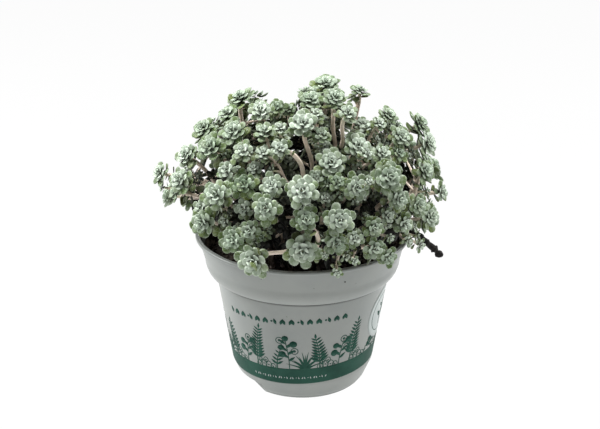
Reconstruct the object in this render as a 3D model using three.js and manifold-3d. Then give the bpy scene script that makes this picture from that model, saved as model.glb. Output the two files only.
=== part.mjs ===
// Potted sedum: powdery grey-green rosettes on branching stems, rooted in a thin-walled nursery pot of soil.
// Millimetres, +Z up. The origin is on the ground under the middle of the pot, and the front faces -Y.
import * as THREE from "three";
import { mergeVertices } from "three/addons/utils/BufferGeometryUtils.js";
import Module from "manifold-3d";

const wasm = await Module();
wasm.setup();

// Driving dimensions of the pot
const pot = {
  height: 88.2,
  rimRadius: 60,
  baseRadius: 36,
  footHeight: 12.2, // up to here the wall flares quickly, and above it slowly
  footRadius: 41.1,
  wall: 1,
  sides: 32,
  bodyTop: 65,
  bodyTopRadius: 49.2,
  collarBottom: 74.2,
  collarBottomRadius: 55.2,
  shoulderSteps: 3,
  collarTopRadius: 58.3,
  lipDepth: 1.8,
  lipRound: 0.5,
  baseRound: 1.6,
  drainHoles: 6,
  drainHoleRadius: 3,
  drainCircle: 24,
};

// The foot of the wall is pressed in at these places, so that water can run out from under the pot. Each recess
// is a pocket whose flat back stands at this reach from the middle of the pot
const footNotch = { angles: [-151, 29], width: 32, height: 7, reach: 32, block: 40 };

const soil = { top: 80.7, gap: 0.3, holeDepth: 7 };

// Stems are round, and thinner at the head than in the soil
const stem = {
  footRadius: 1.75,
  headRadius: 1.45,
  smallRadius: 0.8,
  sides: 5,
  clearance: 0.38,
  drawnIn: 0.52, // a foot stands this share of its heads' distance from the middle of the pot
  furthest: 46,
  apart: 5.6,
  upright: 1, // a stem bends only above this height over the soil
  longFrom: 30, // a longer stem has a segment more
  forkAt: 0.5, // a branch leaves the main stem at this share of its length
  forkRoot: 0.5, // its root is slimmer by this share, so that it lies inside the main stem
  bend: 0.35, // share of a stem's length over which it keeps the direction of its ends
};

// A dried stem of last year leans out over the rim. The points that the photograph shows are [across, down]
// in its pixels, and then the depth y in millimetres
const oldStem = {
  foot: [36, -9],
  over: [54, -17, 93.2],
  seen: [[417, 234.5, -20], [426.5, 242.6, -21], [435, 249.6, -21], [438.5, 254, -21], [442.5, 252.6, -21]],
  radius: 1.3,
  sides: 6,
  steps: 14,
};

// A head is a rosette: whorls of broad leaves one above the other, as shares of the head's radius
const whorls = [
  { leaves: 6, reach: 1.0, rise: 0.38, notchReach: 0.74, notchRise: 0.26, coreRise: 0.34 },
  { leaves: 5, reach: 0.7, rise: 0.8, notchReach: 0.5, notchRise: 0.6, coreRise: 0.58 },
  { leaves: 4, reach: 0.4, rise: 1.02, notchReach: 0.24, notchRise: 0.8, coreRise: 0.76 },
];
const budRise = 0.1; // the bud in the middle stands this much above the last whorl's core
const leafHalfShare = 0.35; // half of a leaf's broad end, as a share of the angle between two leaves
const headCentreRise = 0.45; // a head's middle lies this share of its radius above its base
// Heads below these radii have no third whorl, no second whorl, and a thin stem
const headSize = { threeWhorls: 8.1, twoWhorls: 4.2, thickStem: 4.5 };

// The crown of heads lies on a dome over the pot
const dome = { centre: [0, 0, 101.2], radii: [79, 74, 73] };

// The heads on the near side stand where the photograph shows them, through a pinhole: focal length and
// middle in pixels, pitch in degrees, and the eye's distance and height in millimetres
const view = { focal: 1000, middle: [302.5, 214.5], pitch: 20.9, distance: 524, height: 297.2 };

// Shoots on the near side: each head is [across, down, width] in pixels of the 600 x 429 photograph, and then
// how many millimetres it stands nearer the viewer than the dome
const nearShoots = [
  [[326, 82, 28, 0], [311, 98, 24, -6], [316, 113, 15, 4]],
  [[335, 96, 25, 8], [348, 112, 20, 12]],
  [[361, 89, 19, 0], [363, 123, 17, -22]],
  [[239, 95, 27, 0], [226, 112, 21, 0]],
  [[260, 109, 23, 0], [276, 106, 18, -8], [288, 108, 16, -14]],
  [[202, 127, 24, 0], [208, 146, 28, 4]],
  [[232, 130, 28, 2], [242, 150, 21, 6]],
  [[303, 122, 28, 6]],
  [[264, 130, 21, 0], [280, 127, 15, 4]],
  [[280, 148, 21, 8], [263, 152, 17, -4]],
  [[322, 133, 18, -6], [323, 146, 17, -14]],
  [[184, 154, 24, 0], [158, 172, 21, 0], [161, 187, 10, 0]],
  [[178, 179, 25, 4], [174, 191, 20, -8]],
  [[226, 170, 22, 2], [243, 184, 27, 0]],
  [[215, 193, 29, 8], [200, 208, 20, -6]],
  [[201, 223, 28, 4], [224, 221, 14, -10]],
  [[271, 185, 23, 2], [254, 168, 17, -9]],
  [[265, 208, 28, 4], [243, 209, 19, -6]],
  [[232, 240, 27, 2], [249, 231, 22, 0], [261, 237, 11, -4]],
  [[302, 252, 32, 0], [252, 262, 31, 6]],
  [[302, 190, 31, 6], [317, 176, 20, -6]],
  [[306, 219, 25, 4], [326, 198, 17, -8]],
  [[340, 220, 29, 6], [337, 244, 24, 2]],
  [[355, 238, 19, -2], [337, 273, 11, 8], [325, 256, 9, 2]],
  [[330, 163, 29, -4], [338, 182, 18, 0]],
  [[359, 145, 28, 0], [368, 153, 14, 8], [383, 152, 19, -4]],
  [[358, 187, 25, 2], [369, 181, 11, 8]],
  [[389, 113, 21, 0], [380, 122, 16, 4], [399, 124, 12, -4]],
  [[402, 137, 23, 4], [400, 151, 20, -2]],
  [[422, 122, 28, 0], [430, 145, 27, 4]],
  [[427, 170, 24, 0], [429, 157, 17, -11]],
  [[390, 176, 33, 8]],
  [[400, 199, 24, 4], [389, 216, 16, -4]],
  [[443, 192, 19, 0], [420, 205, 22, 2]],
  [[432, 217, 24, 0], [406, 224, 20, 0], [421, 246, 14, -2], [409, 241, 13, -6]],
  [[375, 228, 21, 2], [391, 238, 10, -2]],
  [[375, 249, 22, 2], [389, 258, 20, 6], [355, 261, 10, 6]],
];

// The far side, which the photograph doesn't show, is filled by a rule with heads of the same sizes
const farSide = {
  tries: 210,
  spacing: 16.2,
  radius: [7, 9.2],
  depth: [0.86, 1.02], // share of the way from the dome's centre to its skin
  facing: 0.02, // a head is on the far side where the dome faces the viewer less than this
  lowest: -0.16,
  perShoot: 3,
};

// Beside the crown the photograph shows bare background: no far head reaches these circles of its pixels,
// each as [across, down, radius]
const openGaps = [[280, 82, 14], [213, 96, 11], [371, 107, 9], [201, 163, 6]];

// Heads face out of the dome, but a little more to the sky, and those in front a little more to the front
const headLean = { up: 0.25, front: 0.5, stray: 0.35 };

// Crowded heads are pushed apart, in rounds, until their middles are this share of their radii apart
const settling = {
  rounds: 80,
  room: 0.93,
  roomInShoot: 0.83,
  eagerness: 0.4,
  overRim: 1.5,
  overSoil: 0.8, // share of a head's radius
};

const colours = {
  pot: 0x8d938e,
  soil: 0x1d1712,
  leaves: 0x8fa596,
  oldStem: 0x14110f,
};

// A seeded draw of numbers from 0 to 1
function drawFrom(seed) {
  let state = seed >>> 0;
  return () => {
    state = (state + 0x6d2b79f5) >>> 0;
    let t = Math.imul(state ^ (state >>> 15), state | 1);
    t = (t + Math.imul(t ^ (t >>> 7), t | 61)) ^ t;
    return ((t ^ (t >>> 14)) >>> 0) / 4294967296;
  };
}

const between = ([low, high], share) => low + (high - low) * share;
const radians = (degrees) => (degrees * Math.PI) / 180;
const vector = (x, y, z) => new THREE.Vector3(x, y, z);
const domeCentre = vector(...dome.centre);

// The dome's outward normal at, or level with, a point
function domeNormal(point) {
  const from = point.clone().sub(domeCentre);
  const [rx, ry, rz] = dome.radii;
  return vector(from.x / rx ** 2, from.y / ry ** 2, from.z / rz ** 2).normalize();
}

const eye = vector(0, -view.distance, view.height);

// The direction in which a pixel of the photograph looks
function sightThrough(across, down) {
  const pitch = radians(view.pitch);
  const right = (across - view.middle[0]) / view.focal;
  const up = (view.middle[1] - down) / view.focal;
  const forward = Math.cos(pitch) + up * Math.sin(pitch);
  return vector(right, forward, up * Math.cos(pitch) - Math.sin(pitch)).normalize();
}

// The place on the dome that a pixel shows. A line of sight past the dome gives its nearest point
function placeOnDome(across, down, nearer) {
  const ray = sightThrough(across, down);
  const [rx, ry, rz] = dome.radii;
  const e = eye.clone().sub(domeCentre).divide(vector(rx, ry, rz));
  const d = ray.clone().divide(vector(rx, ry, rz));
  const half = e.dot(d) / d.dot(d);
  const inside = half * half - (e.dot(e) - 1) / d.dot(d);
  const far = -half - Math.sqrt(Math.max(inside, 0));
  return eye.clone().addScaledVector(ray, far - nearer);
}

// The place that a pixel shows at a given depth
function placeAtDepth(across, down, y) {
  const ray = sightThrough(across, down);
  return eye.clone().addScaledVector(ray, (y - eye.y) / ray.y);
}

// Where the photograph shows a point, [across, down] in its pixels
function pixelOf(point) {
  const pitch = radians(view.pitch);
  const [y, z] = [point.y + view.distance, point.z - view.height];
  const depth = y * Math.cos(pitch) - z * Math.sin(pitch);
  const rise = y * Math.sin(pitch) + z * Math.cos(pitch);
  return [view.middle[0] + (view.focal * point.x) / depth, view.middle[1] - (view.focal * rise) / depth];
}

function reachesGap(centre, radius) {
  const [across, down] = pixelOf(centre);
  const reach = radius * pixelsPerMillimetre(centre);
  return openGaps.some((gap) => Math.hypot(across - gap[0], down - gap[1]) < gap[2] + reach);
}

// How wide a millimetre looks in the photograph, at a point
function pixelsPerMillimetre(point) {
  const pitch = radians(view.pitch);
  const depth = (point.y + view.distance) * Math.cos(pitch) - (point.z - view.height) * Math.sin(pitch);
  return view.focal / depth;
}

function nearHeads() {
  const heads = [];
  nearShoots.forEach((shoot, index) => {
    for (const [across, down, width, nearer] of shoot) {
      const centre = placeOnDome(across, down, nearer);
      heads.push({ centre, radius: width / 2 / pixelsPerMillimetre(centre), shoot: index, near: true });
    }
  });
  return heads;
}

// Points spread evenly over the dome by the golden angle, kept where they face away from the viewer
function farHeads(taken) {
  const draw = drawFrom(41);
  const golden = Math.PI * (3 - Math.sqrt(5));
  const toViewer = vector(0, -view.distance, view.height - dome.centre[2]).normalize();
  const heads = [];
  for (let i = 0; i < farSide.tries; i++) {
    const level = 1 - ((1 - farSide.lowest) * (i + 0.5)) / farSide.tries;
    const flat = Math.sqrt(1 - level * level);
    const turn = i * golden;
    const direction = vector(flat * Math.cos(turn), flat * Math.sin(turn), level);
    const depth = between(farSide.depth, draw());
    const centre = direction.clone().multiply(vector(...dome.radii)).multiplyScalar(depth).add(domeCentre);
    const radius = between(farSide.radius, draw());
    if (domeNormal(centre).dot(toViewer) > farSide.facing || reachesGap(centre, radius)) continue;
    const crowded = [...taken, ...heads].some((h) => h.centre.distanceTo(centre) < farSide.spacing);
    if (!crowded) heads.push({ centre, radius, near: false });
  }
  return heads;
}

// The far heads are gathered into shoots: each takes its nearest free neighbours, going round the pot
function gatherFarShoots(heads, firstShoot) {
  const free = heads.slice().sort((a, b) => turnOf(a) - turnOf(b));
  let shoot = firstShoot;
  while (free.length) {
    const first = free.shift();
    first.shoot = shoot;
    for (let n = 1; n < farSide.perShoot && free.length; n++) {
      free.sort((a, b) => a.centre.distanceTo(first.centre) - b.centre.distanceTo(first.centre));
      free.shift().shoot = shoot;
    }
    free.sort((a, b) => turnOf(a) - turnOf(b));
    shoot += 1;
  }
}

const turnOf = (head) => Math.atan2(head.centre.y, -head.centre.x);

// Crowded heads push each other apart, and the rim of the pot pushes away those that lean on it
function settle(heads) {
  const apart = vector(0, 0, 0);
  for (let round = 0; round < settling.rounds; round++) {
    for (let i = 0; i < heads.length; i++) {
      for (let j = i + 1; j < heads.length; j++) {
        const a = heads[i];
        const b = heads[j];
        const room = (a.radius + b.radius) * (a.shoot === b.shoot ? settling.roomInShoot : settling.room);
        apart.copy(b.centre).sub(a.centre);
        const distance = apart.length();
        if (distance >= room) continue;
        apart.multiplyScalar(((room - distance) / distance) * settling.eagerness);
        a.centre.sub(apart);
        b.centre.add(apart);
      }
    }
    for (const head of heads) {
      const out = Math.hypot(head.centre.x, head.centre.y);
      const fromRim = Math.hypot(out - pot.rimRadius, head.centre.z - pot.height);
      const room = head.radius + settling.overRim;
      if (fromRim < room) {
        const push = ((room - fromRim) / fromRim) * settling.eagerness;
        const outward = (out - pot.rimRadius) * push;
        head.centre.x += (head.centre.x / out) * outward;
        head.centre.y += (head.centre.y / out) * outward;
        head.centre.z += (head.centre.z - pot.height) * push;
      }
      const lowest = soil.top + head.radius * settling.overSoil;
      if (out < pot.rimRadius && head.centre.z < lowest) head.centre.z = lowest;
    }
  }
}

function placeHeads() {
  const near = nearHeads();
  const far = farHeads(near);
  gatherFarShoots(far, nearShoots.length);
  const heads = [...near, ...far];
  settle(heads);
  const draw = drawFrom(7);
  for (const head of heads) {
    const lean = vector(draw() - 0.5, draw() - 0.5, draw() - 0.5).multiplyScalar(headLean.stray);
    lean.add(vector(0, head.near ? -headLean.front : 0, headLean.up));
    head.axis = domeNormal(head.centre).add(lean).normalize();
    head.base = head.centre.clone().addScaledVector(head.axis, -headCentreRise * head.radius);
    head.phase = draw();
  }
  return heads;
}

// A solid from a closed geometry
function solidOf(geometry) {
  geometry.deleteAttribute("normal");
  geometry.deleteAttribute("uv");
  const merged = mergeVertices(geometry, 1e-4);
  return new wasm.Manifold(
    new wasm.Mesh({
      numProp: 3,
      vertProperties: new Float32Array(merged.attributes.position.array),
      triVerts: new Uint32Array(merged.index.array),
    }),
  );
}

function meshOf(name, solid, colour, roughness) {
  const made = solid.getMesh();
  const geometry = new THREE.BufferGeometry();
  geometry.setAttribute("position", new THREE.BufferAttribute(new Float32Array(made.vertProperties), 3));
  geometry.setIndex(new THREE.BufferAttribute(new Uint32Array(made.triVerts), 1));
  const mesh = new THREE.Mesh(
    geometry,
    new THREE.MeshStandardMaterial({ color: colour, roughness, metalness: 0 }),
  );
  mesh.name = name;
  return mesh;
}

// A turned solid about the Z axis from a profile of [radius, height] points that starts and ends on the axis
function turned(profile) {
  const points = profile.map(([r, z]) => new THREE.Vector2(r, z));
  const geometry = new THREE.LatheGeometry(points, pot.sides);
  geometry.rotateX(Math.PI / 2);
  return solidOf(geometry);
}

// The outer radius of the pot's tapering wall at a height
function bodyRadius(z) {
  if (z < pot.footHeight) return between([pot.baseRadius, pot.footRadius], z / pot.footHeight);
  return between([pot.footRadius, pot.bodyTopRadius], (z - pot.footHeight) / (pot.bodyTop - pot.footHeight));
}

// The pot's outline from the base up to the lip, drawn in by a distance for the inside of the wall
function potOutline(inset) {
  const outline = [
    [pot.baseRadius - pot.baseRound - inset, inset],
    [bodyRadius(pot.baseRound) - inset, pot.baseRound + inset],
    [pot.footRadius - inset, pot.footHeight],
    [pot.bodyTopRadius - inset, pot.bodyTop + inset],
  ];
  // The shoulder under the collar is a quarter of an ellipse
  for (let step = 1; step <= pot.shoulderSteps; step++) {
    const turn = ((step / pot.shoulderSteps) * Math.PI) / 2;
    const out = (pot.collarBottomRadius - pot.bodyTopRadius - inset) * Math.sin(turn);
    const up = (pot.collarBottom - pot.bodyTop - inset) * (1 - Math.cos(turn)) + inset;
    outline.push([pot.bodyTopRadius + out, pot.bodyTop + up]);
  }
  outline.push([pot.collarTopRadius - inset, pot.height - pot.lipDepth]);
  return outline;
}

// Blocks that press the foot of the wall in. They reach as far below the ground as above it
function notchCutters(grow) {
  const { angles, width, height, reach, block } = footNotch;
  return angles.map((angle) => {
    const box = new THREE.BoxGeometry(block, width + grow * 2, (height + grow) * 2);
    box.translate(reach - grow + block / 2, 0, 0);
    box.rotateZ(radians(angle));
    return solidOf(box);
  });
}

function buildPot() {
  const outside = potOutline(0);
  const inside = potOutline(pot.wall);
  const lipInner = pot.collarTopRadius - pot.wall;
  let body = turned([
    [0, 0],
    ...outside,
    [pot.rimRadius, pot.height - pot.lipDepth + pot.lipRound],
    [pot.rimRadius, pot.height - pot.lipRound],
    [pot.rimRadius - pot.lipRound, pot.height],
    [0, pot.height],
  ]);
  let hollow = turned([[0, pot.wall], ...inside, [lipInner, pot.height + 2], [0, pot.height + 2]]);
  notchCutters(0).forEach((cutter) => (body = body.subtract(cutter)));
  notchCutters(pot.wall).forEach((cutter) => (hollow = hollow.subtract(cutter)));
  body = body.subtract(hollow);
  for (let i = 0; i < pot.drainHoles; i++) {
    const hole = new THREE.CylinderGeometry(pot.drainHoleRadius, pot.drainHoleRadius, pot.wall * 4, 8);
    hole.rotateX(Math.PI / 2);
    hole.translate(pot.drainCircle, 0, 0);
    hole.rotateZ((2 * Math.PI * i) / pot.drainHoles);
    body = body.subtract(solidOf(hole));
  }
  return meshOf("pot", body, colours.pot, 0.55);
}

function buildSoil(feet) {
  const inset = pot.wall + soil.gap;
  const wallSide = potOutline(inset);
  const collarSlope = (pot.collarTopRadius - pot.collarBottomRadius) / (pot.height - pot.collarBottom);
  const topRadius = pot.collarBottomRadius + collarSlope * (soil.top - pot.collarBottom) - inset;
  let body = turned([
    [0, inset],
    ...wallSide.slice(0, 4),
    wallSide[pot.shoulderSteps + 3],
    [topRadius, soil.top],
    [0, soil.top],
  ]);
  notchCutters(inset).forEach((cutter) => (body = body.subtract(cutter)));
  const holeRadius = stem.footRadius + stem.clearance;
  for (const { x, y } of feet) {
    const hole = new THREE.CylinderGeometry(holeRadius, holeRadius, soil.holeDepth * 2, stem.sides);
    // The hole's flats face the stem's
    hole.rotateX(Math.PI / 2);
    hole.rotateZ(Math.PI / 2);
    hole.translate(x, y, soil.top);
    body = body.subtract(solidOf(hole));
  }
  return meshOf("soil", body, colours.soil, 0.95);
}

// A closed skin is built ring by ring: a ring's points go once round, and the next ring is sewn to it
class Skin {
  constructor() {
    this.points = [];
    this.faces = [];
  }

  add(point) {
    this.points.push(point.x, point.y, point.z);
    return this.points.length / 3 - 1;
  }

  // A ring is a list of {angle, index} in order of angle, from about 0 to 2 pi
  sew(lower, upper) {
    let i = 0;
    let j = 0;
    const angleAt = (ring, k) => ring[k % ring.length].angle + (k >= ring.length ? 2 * Math.PI : 0);
    while (i < lower.length || j < upper.length) {
      const a = lower[i % lower.length].index;
      const b = upper[j % upper.length].index;
      const nextLower = i < lower.length ? angleAt(lower, i + 1) + angleAt(lower, i) : Infinity;
      const nextUpper = j < upper.length ? angleAt(upper, j + 1) + angleAt(upper, j) : Infinity;
      if (nextLower <= nextUpper) {
        i += 1;
        this.faces.push(a, lower[i % lower.length].index, b);
      } else {
        j += 1;
        this.faces.push(a, upper[j % upper.length].index, b);
      }
    }
  }

  closeStart(ring) {
    for (let k = 2; k < ring.length; k++) this.faces.push(ring[0].index, ring[k].index, ring[k - 1].index);
  }

  closeTop(ring, point) {
    const apex = this.add(point);
    ring.forEach((entry, k) => this.faces.push(entry.index, ring[(k + 1) % ring.length].index, apex));
  }

  solid() {
    const geometry = new THREE.BufferGeometry();
    geometry.setAttribute("position", new THREE.Float32BufferAttribute(this.points, 3));
    geometry.setIndex(this.faces);
    return solidOf(geometry);
  }
}

// One leafy stem: a tube along a curve that ends in the whorls of a head
function stalkWithHead(curve, segments, startFrame, head, radiusAt) {
  const skin = new Skin();
  const across = startFrame.clone();
  let ring = [];
  const ringAt = (centre, axis, radius) => {
    across.addScaledVector(axis, -across.dot(axis)).normalize();
    const side = axis.clone().cross(across);
    return Array.from({ length: stem.sides }, (_, k) => {
      const angle = (2 * Math.PI * k) / stem.sides;
      const point = centre
        .clone()
        .addScaledVector(across, radius * Math.cos(angle))
        .addScaledVector(side, radius * Math.sin(angle));
      return { angle, index: skin.add(point) };
    });
  };
  for (let s = 0; s <= segments; s++) {
    const t = s / segments;
    const axis = s === segments ? head.axis : curve.getTangent(t);
    const next = ringAt(curve.getPoint(t), axis, radiusAt(t));
    if (s === 0) skin.closeStart(next);
    else skin.sew(ring, next);
    ring = next;
  }
  const side = head.axis.clone().cross(across);
  const pointOn = (angle, reach, rise) =>
    head.base
      .clone()
      .addScaledVector(across, head.radius * reach * Math.cos(angle))
      .addScaledVector(side, head.radius * reach * Math.sin(angle))
      .addScaledVector(head.axis, head.radius * rise);
  const count = 1 + (head.radius > headSize.twoWhorls) + (head.radius > headSize.threeWhorls);
  const neckRadius = radiusAt(1);
  whorls.slice(0, count).forEach((whorl, level) => {
    const step = (2 * Math.PI) / whorl.leaves;
    const phase = step * ((head.phase + level * 0.5) % 1);
    const rim = [];
    for (let leaf = 0; leaf < whorl.leaves; leaf++) {
      const middle = phase + leaf * step;
      rim.push([middle - step * leafHalfShare, whorl.reach, whorl.rise]);
      rim.push([middle + step * leafHalfShare, whorl.reach, whorl.rise]);
      rim.push([middle + step / 2, whorl.notchReach, whorl.notchRise]);
    }
    const outline = rim
      .map(([angle, reach, rise]) => [(angle + 2 * Math.PI) % (2 * Math.PI), reach, rise])
      .sort((a, b) => a[0] - b[0])
      .map(([angle, reach, rise]) => ({ angle, index: skin.add(pointOn(angle, reach, rise)) }));
    skin.sew(ring, outline);
    const top = level === count - 1;
    if (top) {
      skin.closeTop(outline, pointOn(0, 0, whorl.coreRise + budRise));
    } else {
      const neckCentre = head.base.clone().addScaledVector(head.axis, head.radius * whorl.coreRise);
      const neck = ringAt(neckCentre, head.axis, neckRadius);
      skin.sew(outline, neck);
      ring = neck;
    }
  });
  return skin.solid();
}

// A shoot: its main stem stands in the soil, and its other heads branch from that stem
function buildShoot(heads, foot) {
  const [first, ...others] = heads;
  const headRadius = (head) => (head.radius > headSize.thickStem ? stem.headRadius : stem.smallRadius);
  const bottom = foot.clone().setZ(soil.top - soil.holeDepth + soil.gap);
  const ground = foot.clone().setZ(soil.top + stem.upright);
  const reach = first.base.distanceTo(ground);
  const mainCurve = new THREE.CubicBezierCurve3(
    ground,
    ground.clone().add(vector(0, 0, reach * stem.bend)),
    first.base.clone().addScaledVector(first.axis, -reach * stem.bend),
    first.base,
  );
  const segments = reach > stem.longFrom ? 4 : 3;
  const path = standingPath(bottom, mainCurve, segments);
  const taper = (t) => stem.footRadius + (headRadius(first) - stem.footRadius) * t;
  let solid = stalkWithHead(path, segments, vector(1, 0, 0), first, taper);
  for (const head of others) {
    const fork = mainCurve.getPoint(stem.forkAt);
    const along = mainCurve.getTangent(stem.forkAt);
    const length = fork.distanceTo(head.base);
    const curve = new THREE.CubicBezierCurve3(
      fork,
      fork.clone().addScaledVector(along, length * stem.bend),
      head.base.clone().addScaledVector(head.axis, -length * stem.bend),
      head.base,
    );
    const startAcross = Math.abs(along.x) < 0.8 ? vector(1, 0, 0) : vector(0, 1, 0);
    const thickness = (t) => headRadius(head) * (t ? 1 : stem.forkRoot);
    const branch = stalkWithHead(curve, 2, startAcross, head, thickness);
    solid = solid.add(branch);
  }
  return solid;
}

// A path of so many segments: the first one upright in the soil, and the others along a curve
function standingPath(bottom, curve, segments) {
  const shareAbove = (t) => Math.max(0, (t * segments - 1) / (segments - 1));
  return {
    getPoint: (t) => (t === 0 ? bottom : curve.getPoint(shareAbove(t))),
    getTangent: (t) => (shareAbove(t) === 0 ? vector(0, 0, 1) : curve.getTangent(shareAbove(t))),
  };
}

// A shoot's foot lies under its heads, drawn in towards the middle of the pot
function footOf(heads) {
  const mean = vector(0, 0, 0);
  heads.forEach((head) => mean.addScaledVector(head.centre, 1 / heads.length));
  const out = Math.hypot(mean.x, mean.y);
  const reach = Math.min(out * stem.drawnIn, stem.furthest);
  return vector((mean.x / out) * reach, (mean.y / out) * reach, 0);
}

// Feet that stand too close are moved apart in the soil
function spreadFeet(feet) {
  for (let round = 0; round < settling.rounds; round++) {
    for (let i = 0; i < feet.length; i++) {
      for (let j = i + 1; j < feet.length; j++) {
        const apart = feet[j].clone().sub(feet[i]);
        const distance = apart.length();
        if (distance >= stem.apart) continue;
        apart.multiplyScalar((stem.apart - distance) / distance / 2);
        feet[i].sub(apart);
        feet[j].add(apart);
      }
    }
  }
}

function buildOldStem(foot) {
  const bottom = foot.clone().setZ(soil.top - soil.holeDepth + soil.gap);
  const ground = foot.clone().setZ(soil.top + stem.upright * 2);
  const seen = oldStem.seen.map((point) => placeAtDepth(...point));
  const curve = new THREE.CatmullRomCurve3([bottom, ground, vector(...oldStem.over), ...seen]);
  const section = new THREE.Shape();
  for (let k = 0; k < oldStem.sides; k++) {
    const angle = (2 * Math.PI * k) / oldStem.sides;
    section[k ? "lineTo" : "moveTo"](oldStem.radius * Math.cos(angle), oldStem.radius * Math.sin(angle));
  }
  const tube = new THREE.ExtrudeGeometry(section, { steps: oldStem.steps, extrudePath: curve });
  return meshOf("old_stem", solidOf(tube), colours.oldStem, 0.9);
}

const model = new THREE.Group();
const heads = placeHeads();
const shootCount = Math.max(...heads.map((head) => head.shoot)) + 1;
const shoots = Array.from({ length: shootCount }, (_, index) => heads.filter((head) => head.shoot === index));
const feet = [...shoots.map(footOf), vector(...oldStem.foot, 0)];
spreadFeet(feet);

model.add(buildPot(), buildSoil(feet), buildOldStem(feet[shootCount]));
shoots.forEach((shoot, index) => {
  const name = `shoot_${String(index + 1).padStart(2, "0")}`;
  model.add(meshOf(name, buildShoot(shoot, feet[index]), colours.leaves, 0.8));
});

export default model;
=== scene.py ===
import math

import bmesh
import bpy
from mathutils import Matrix, Vector, noise


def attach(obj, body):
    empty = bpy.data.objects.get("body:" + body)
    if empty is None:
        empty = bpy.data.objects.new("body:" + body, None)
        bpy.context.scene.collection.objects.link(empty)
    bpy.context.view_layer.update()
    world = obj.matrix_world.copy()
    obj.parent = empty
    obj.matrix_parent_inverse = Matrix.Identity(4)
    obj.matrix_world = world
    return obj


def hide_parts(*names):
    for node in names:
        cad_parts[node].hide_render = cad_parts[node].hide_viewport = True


# Potted sedum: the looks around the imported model, front towards -Y.
# Shapes are worked out in millimetres, as in the solids, and finishPiece turns them into metres
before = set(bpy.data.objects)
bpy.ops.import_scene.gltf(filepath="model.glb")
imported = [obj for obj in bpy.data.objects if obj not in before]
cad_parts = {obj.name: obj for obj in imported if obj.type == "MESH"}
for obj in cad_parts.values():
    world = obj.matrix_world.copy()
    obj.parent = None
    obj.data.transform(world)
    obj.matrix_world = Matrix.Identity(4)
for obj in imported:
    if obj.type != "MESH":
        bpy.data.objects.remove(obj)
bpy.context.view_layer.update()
mm = 0.001
up = Vector((0, 0, 1))
print("frame loaded:", len(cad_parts), "nodes")


# Where each draw by chance starts. The shoots count on from theirs
seeds = {"leaf": 3, "axis": 7, "soil": 11, "farSide": 41, "crown": 43, "shoot": 100}


# Small helpers
def drawFrom(seed):
    # the seeded draw of numbers from 0 to 1 that the solids use
    state = seed

    def nextDraw():
        nonlocal state
        state = (state + 0x6D2B79F5) & 0xFFFFFFFF
        t = ((state ^ (state >> 15)) * (state | 1)) & 0xFFFFFFFF
        t = ((t + ((t ^ (t >> 7)) * (t | 61))) ^ t) & 0xFFFFFFFF
        return (t ^ (t >> 14)) / 4294967296

    return nextDraw


def between(low, high, share):
    return low + (high - low) * share


def smoothStep(low, high, value):
    share = min(max((value - low) / (high - low), 0), 1)
    return share * share * (3 - 2 * share)


def onCircle(radius, turn, height=0.0):
    return Vector((radius * math.cos(turn), radius * math.sin(turn), height))


def strayVector(draw):
    return Vector((draw() - 0.5, draw() - 0.5, draw() - 0.5))


def finishPiece(bm, name, nodeName, material):
    bmesh.ops.scale(bm, vec=(mm, mm, mm), verts=bm.verts)
    mesh = bpy.data.meshes.new(name)
    bm.to_mesh(mesh)
    bm.free()
    mesh.shade_smooth()
    mesh.materials.append(material)
    piece = bpy.data.objects.new(name, mesh)
    bpy.context.scene.collection.objects.link(piece)
    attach(piece, "root")
    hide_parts(nodeName)
    return piece


# The photograph's view, for the camera and for placing the heads: pixels, degrees and millimetres
view = {
    "imageWidth": 600,
    "focal": 1000,
    "middle": (302.5, 214.5),  # the pixel ahead of the lens, where the pot's axis shows too
    "pitch": 20.9,
    "distance": 524,
    "height": 297.2,
}

# Camera, light and floor
studio = {
    "sensor": 36,
    "floorSize": 16,
    "floorColour": (0.4, 0.4, 0.4, 1),
    "floorGlow": 0.94,  # share of plain white that the camera sees in the floor
    # painted light: the floor itself glows, most near the pot, and lights the pot from below
    "tableLight": (0.95, 0.36),  # the lit table: near the pot and far from it
    "tableReach": (0.07, 0.28),
    "world": 0.04,
    # name: place, aim, width, watts
    "lights": {
        "key": ((-0.95, 0.2, 0.75), (0, 0, 0.1), 0.45, 16),
        "top": ((0.0, 0.0, 1.3), (0, 0, 0.1), 0.4, 16),
        "right": ((0.95, 0.3, 0.5), (0, 0, 0.07), 0.45, 8),
        "front": ((0.25, -0.95, 0.6), (0, 0, 0.14), 0.4, 1.3),
    },
}


def setStudio():
    scene = bpy.context.scene
    data = bpy.data.cameras.new("camera")
    data.sensor_width = studio["sensor"]
    data.lens = studio["sensor"] * view["focal"] / view["imageWidth"]
    data.shift_x = 0.5 - view["middle"][0] / view["imageWidth"]
    camera = bpy.data.objects.new("camera", data)
    camera.location = (0, -view["distance"] * mm, view["height"] * mm)
    camera.rotation_euler = (math.radians(90 - view["pitch"]), 0, 0)
    scene.collection.objects.link(camera)
    scene.camera = camera
    for name, (place, aim, width, watts) in studio["lights"].items():
        data = bpy.data.lights.new(name, "AREA")
        data.shape = "DISK"
        data.size = width
        data.energy = watts
        light = bpy.data.objects.new(name, data)
        light.location = place
        light.rotation_euler = (Vector(aim) - Vector(place)).to_track_quat("-Z", "Y").to_euler()
        scene.collection.objects.link(light)
    world = bpy.data.worlds.new("studio")
    world.use_nodes = True
    tree = world.node_tree
    tree.nodes.clear()
    dim = addNode(tree, "ShaderNodeBackground", {"Color": (1, 1, 1, 1), "Strength": studio["world"]})
    plain = addNode(tree, "ShaderNodeBackground", {"Color": (1, 1, 1, 1), "Strength": 1.0})
    seen = addNode(tree, "ShaderNodeLightPath").outputs["Is Camera Ray"]
    both = addNode(tree, "ShaderNodeMixShader", {0: seen, 1: dim.outputs[0], 2: plain.outputs[0]})
    addNode(tree, "ShaderNodeOutputWorld", {"Surface": both.outputs[0]})
    scene.world = world
    scene.view_settings.view_transform = "Standard"


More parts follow.
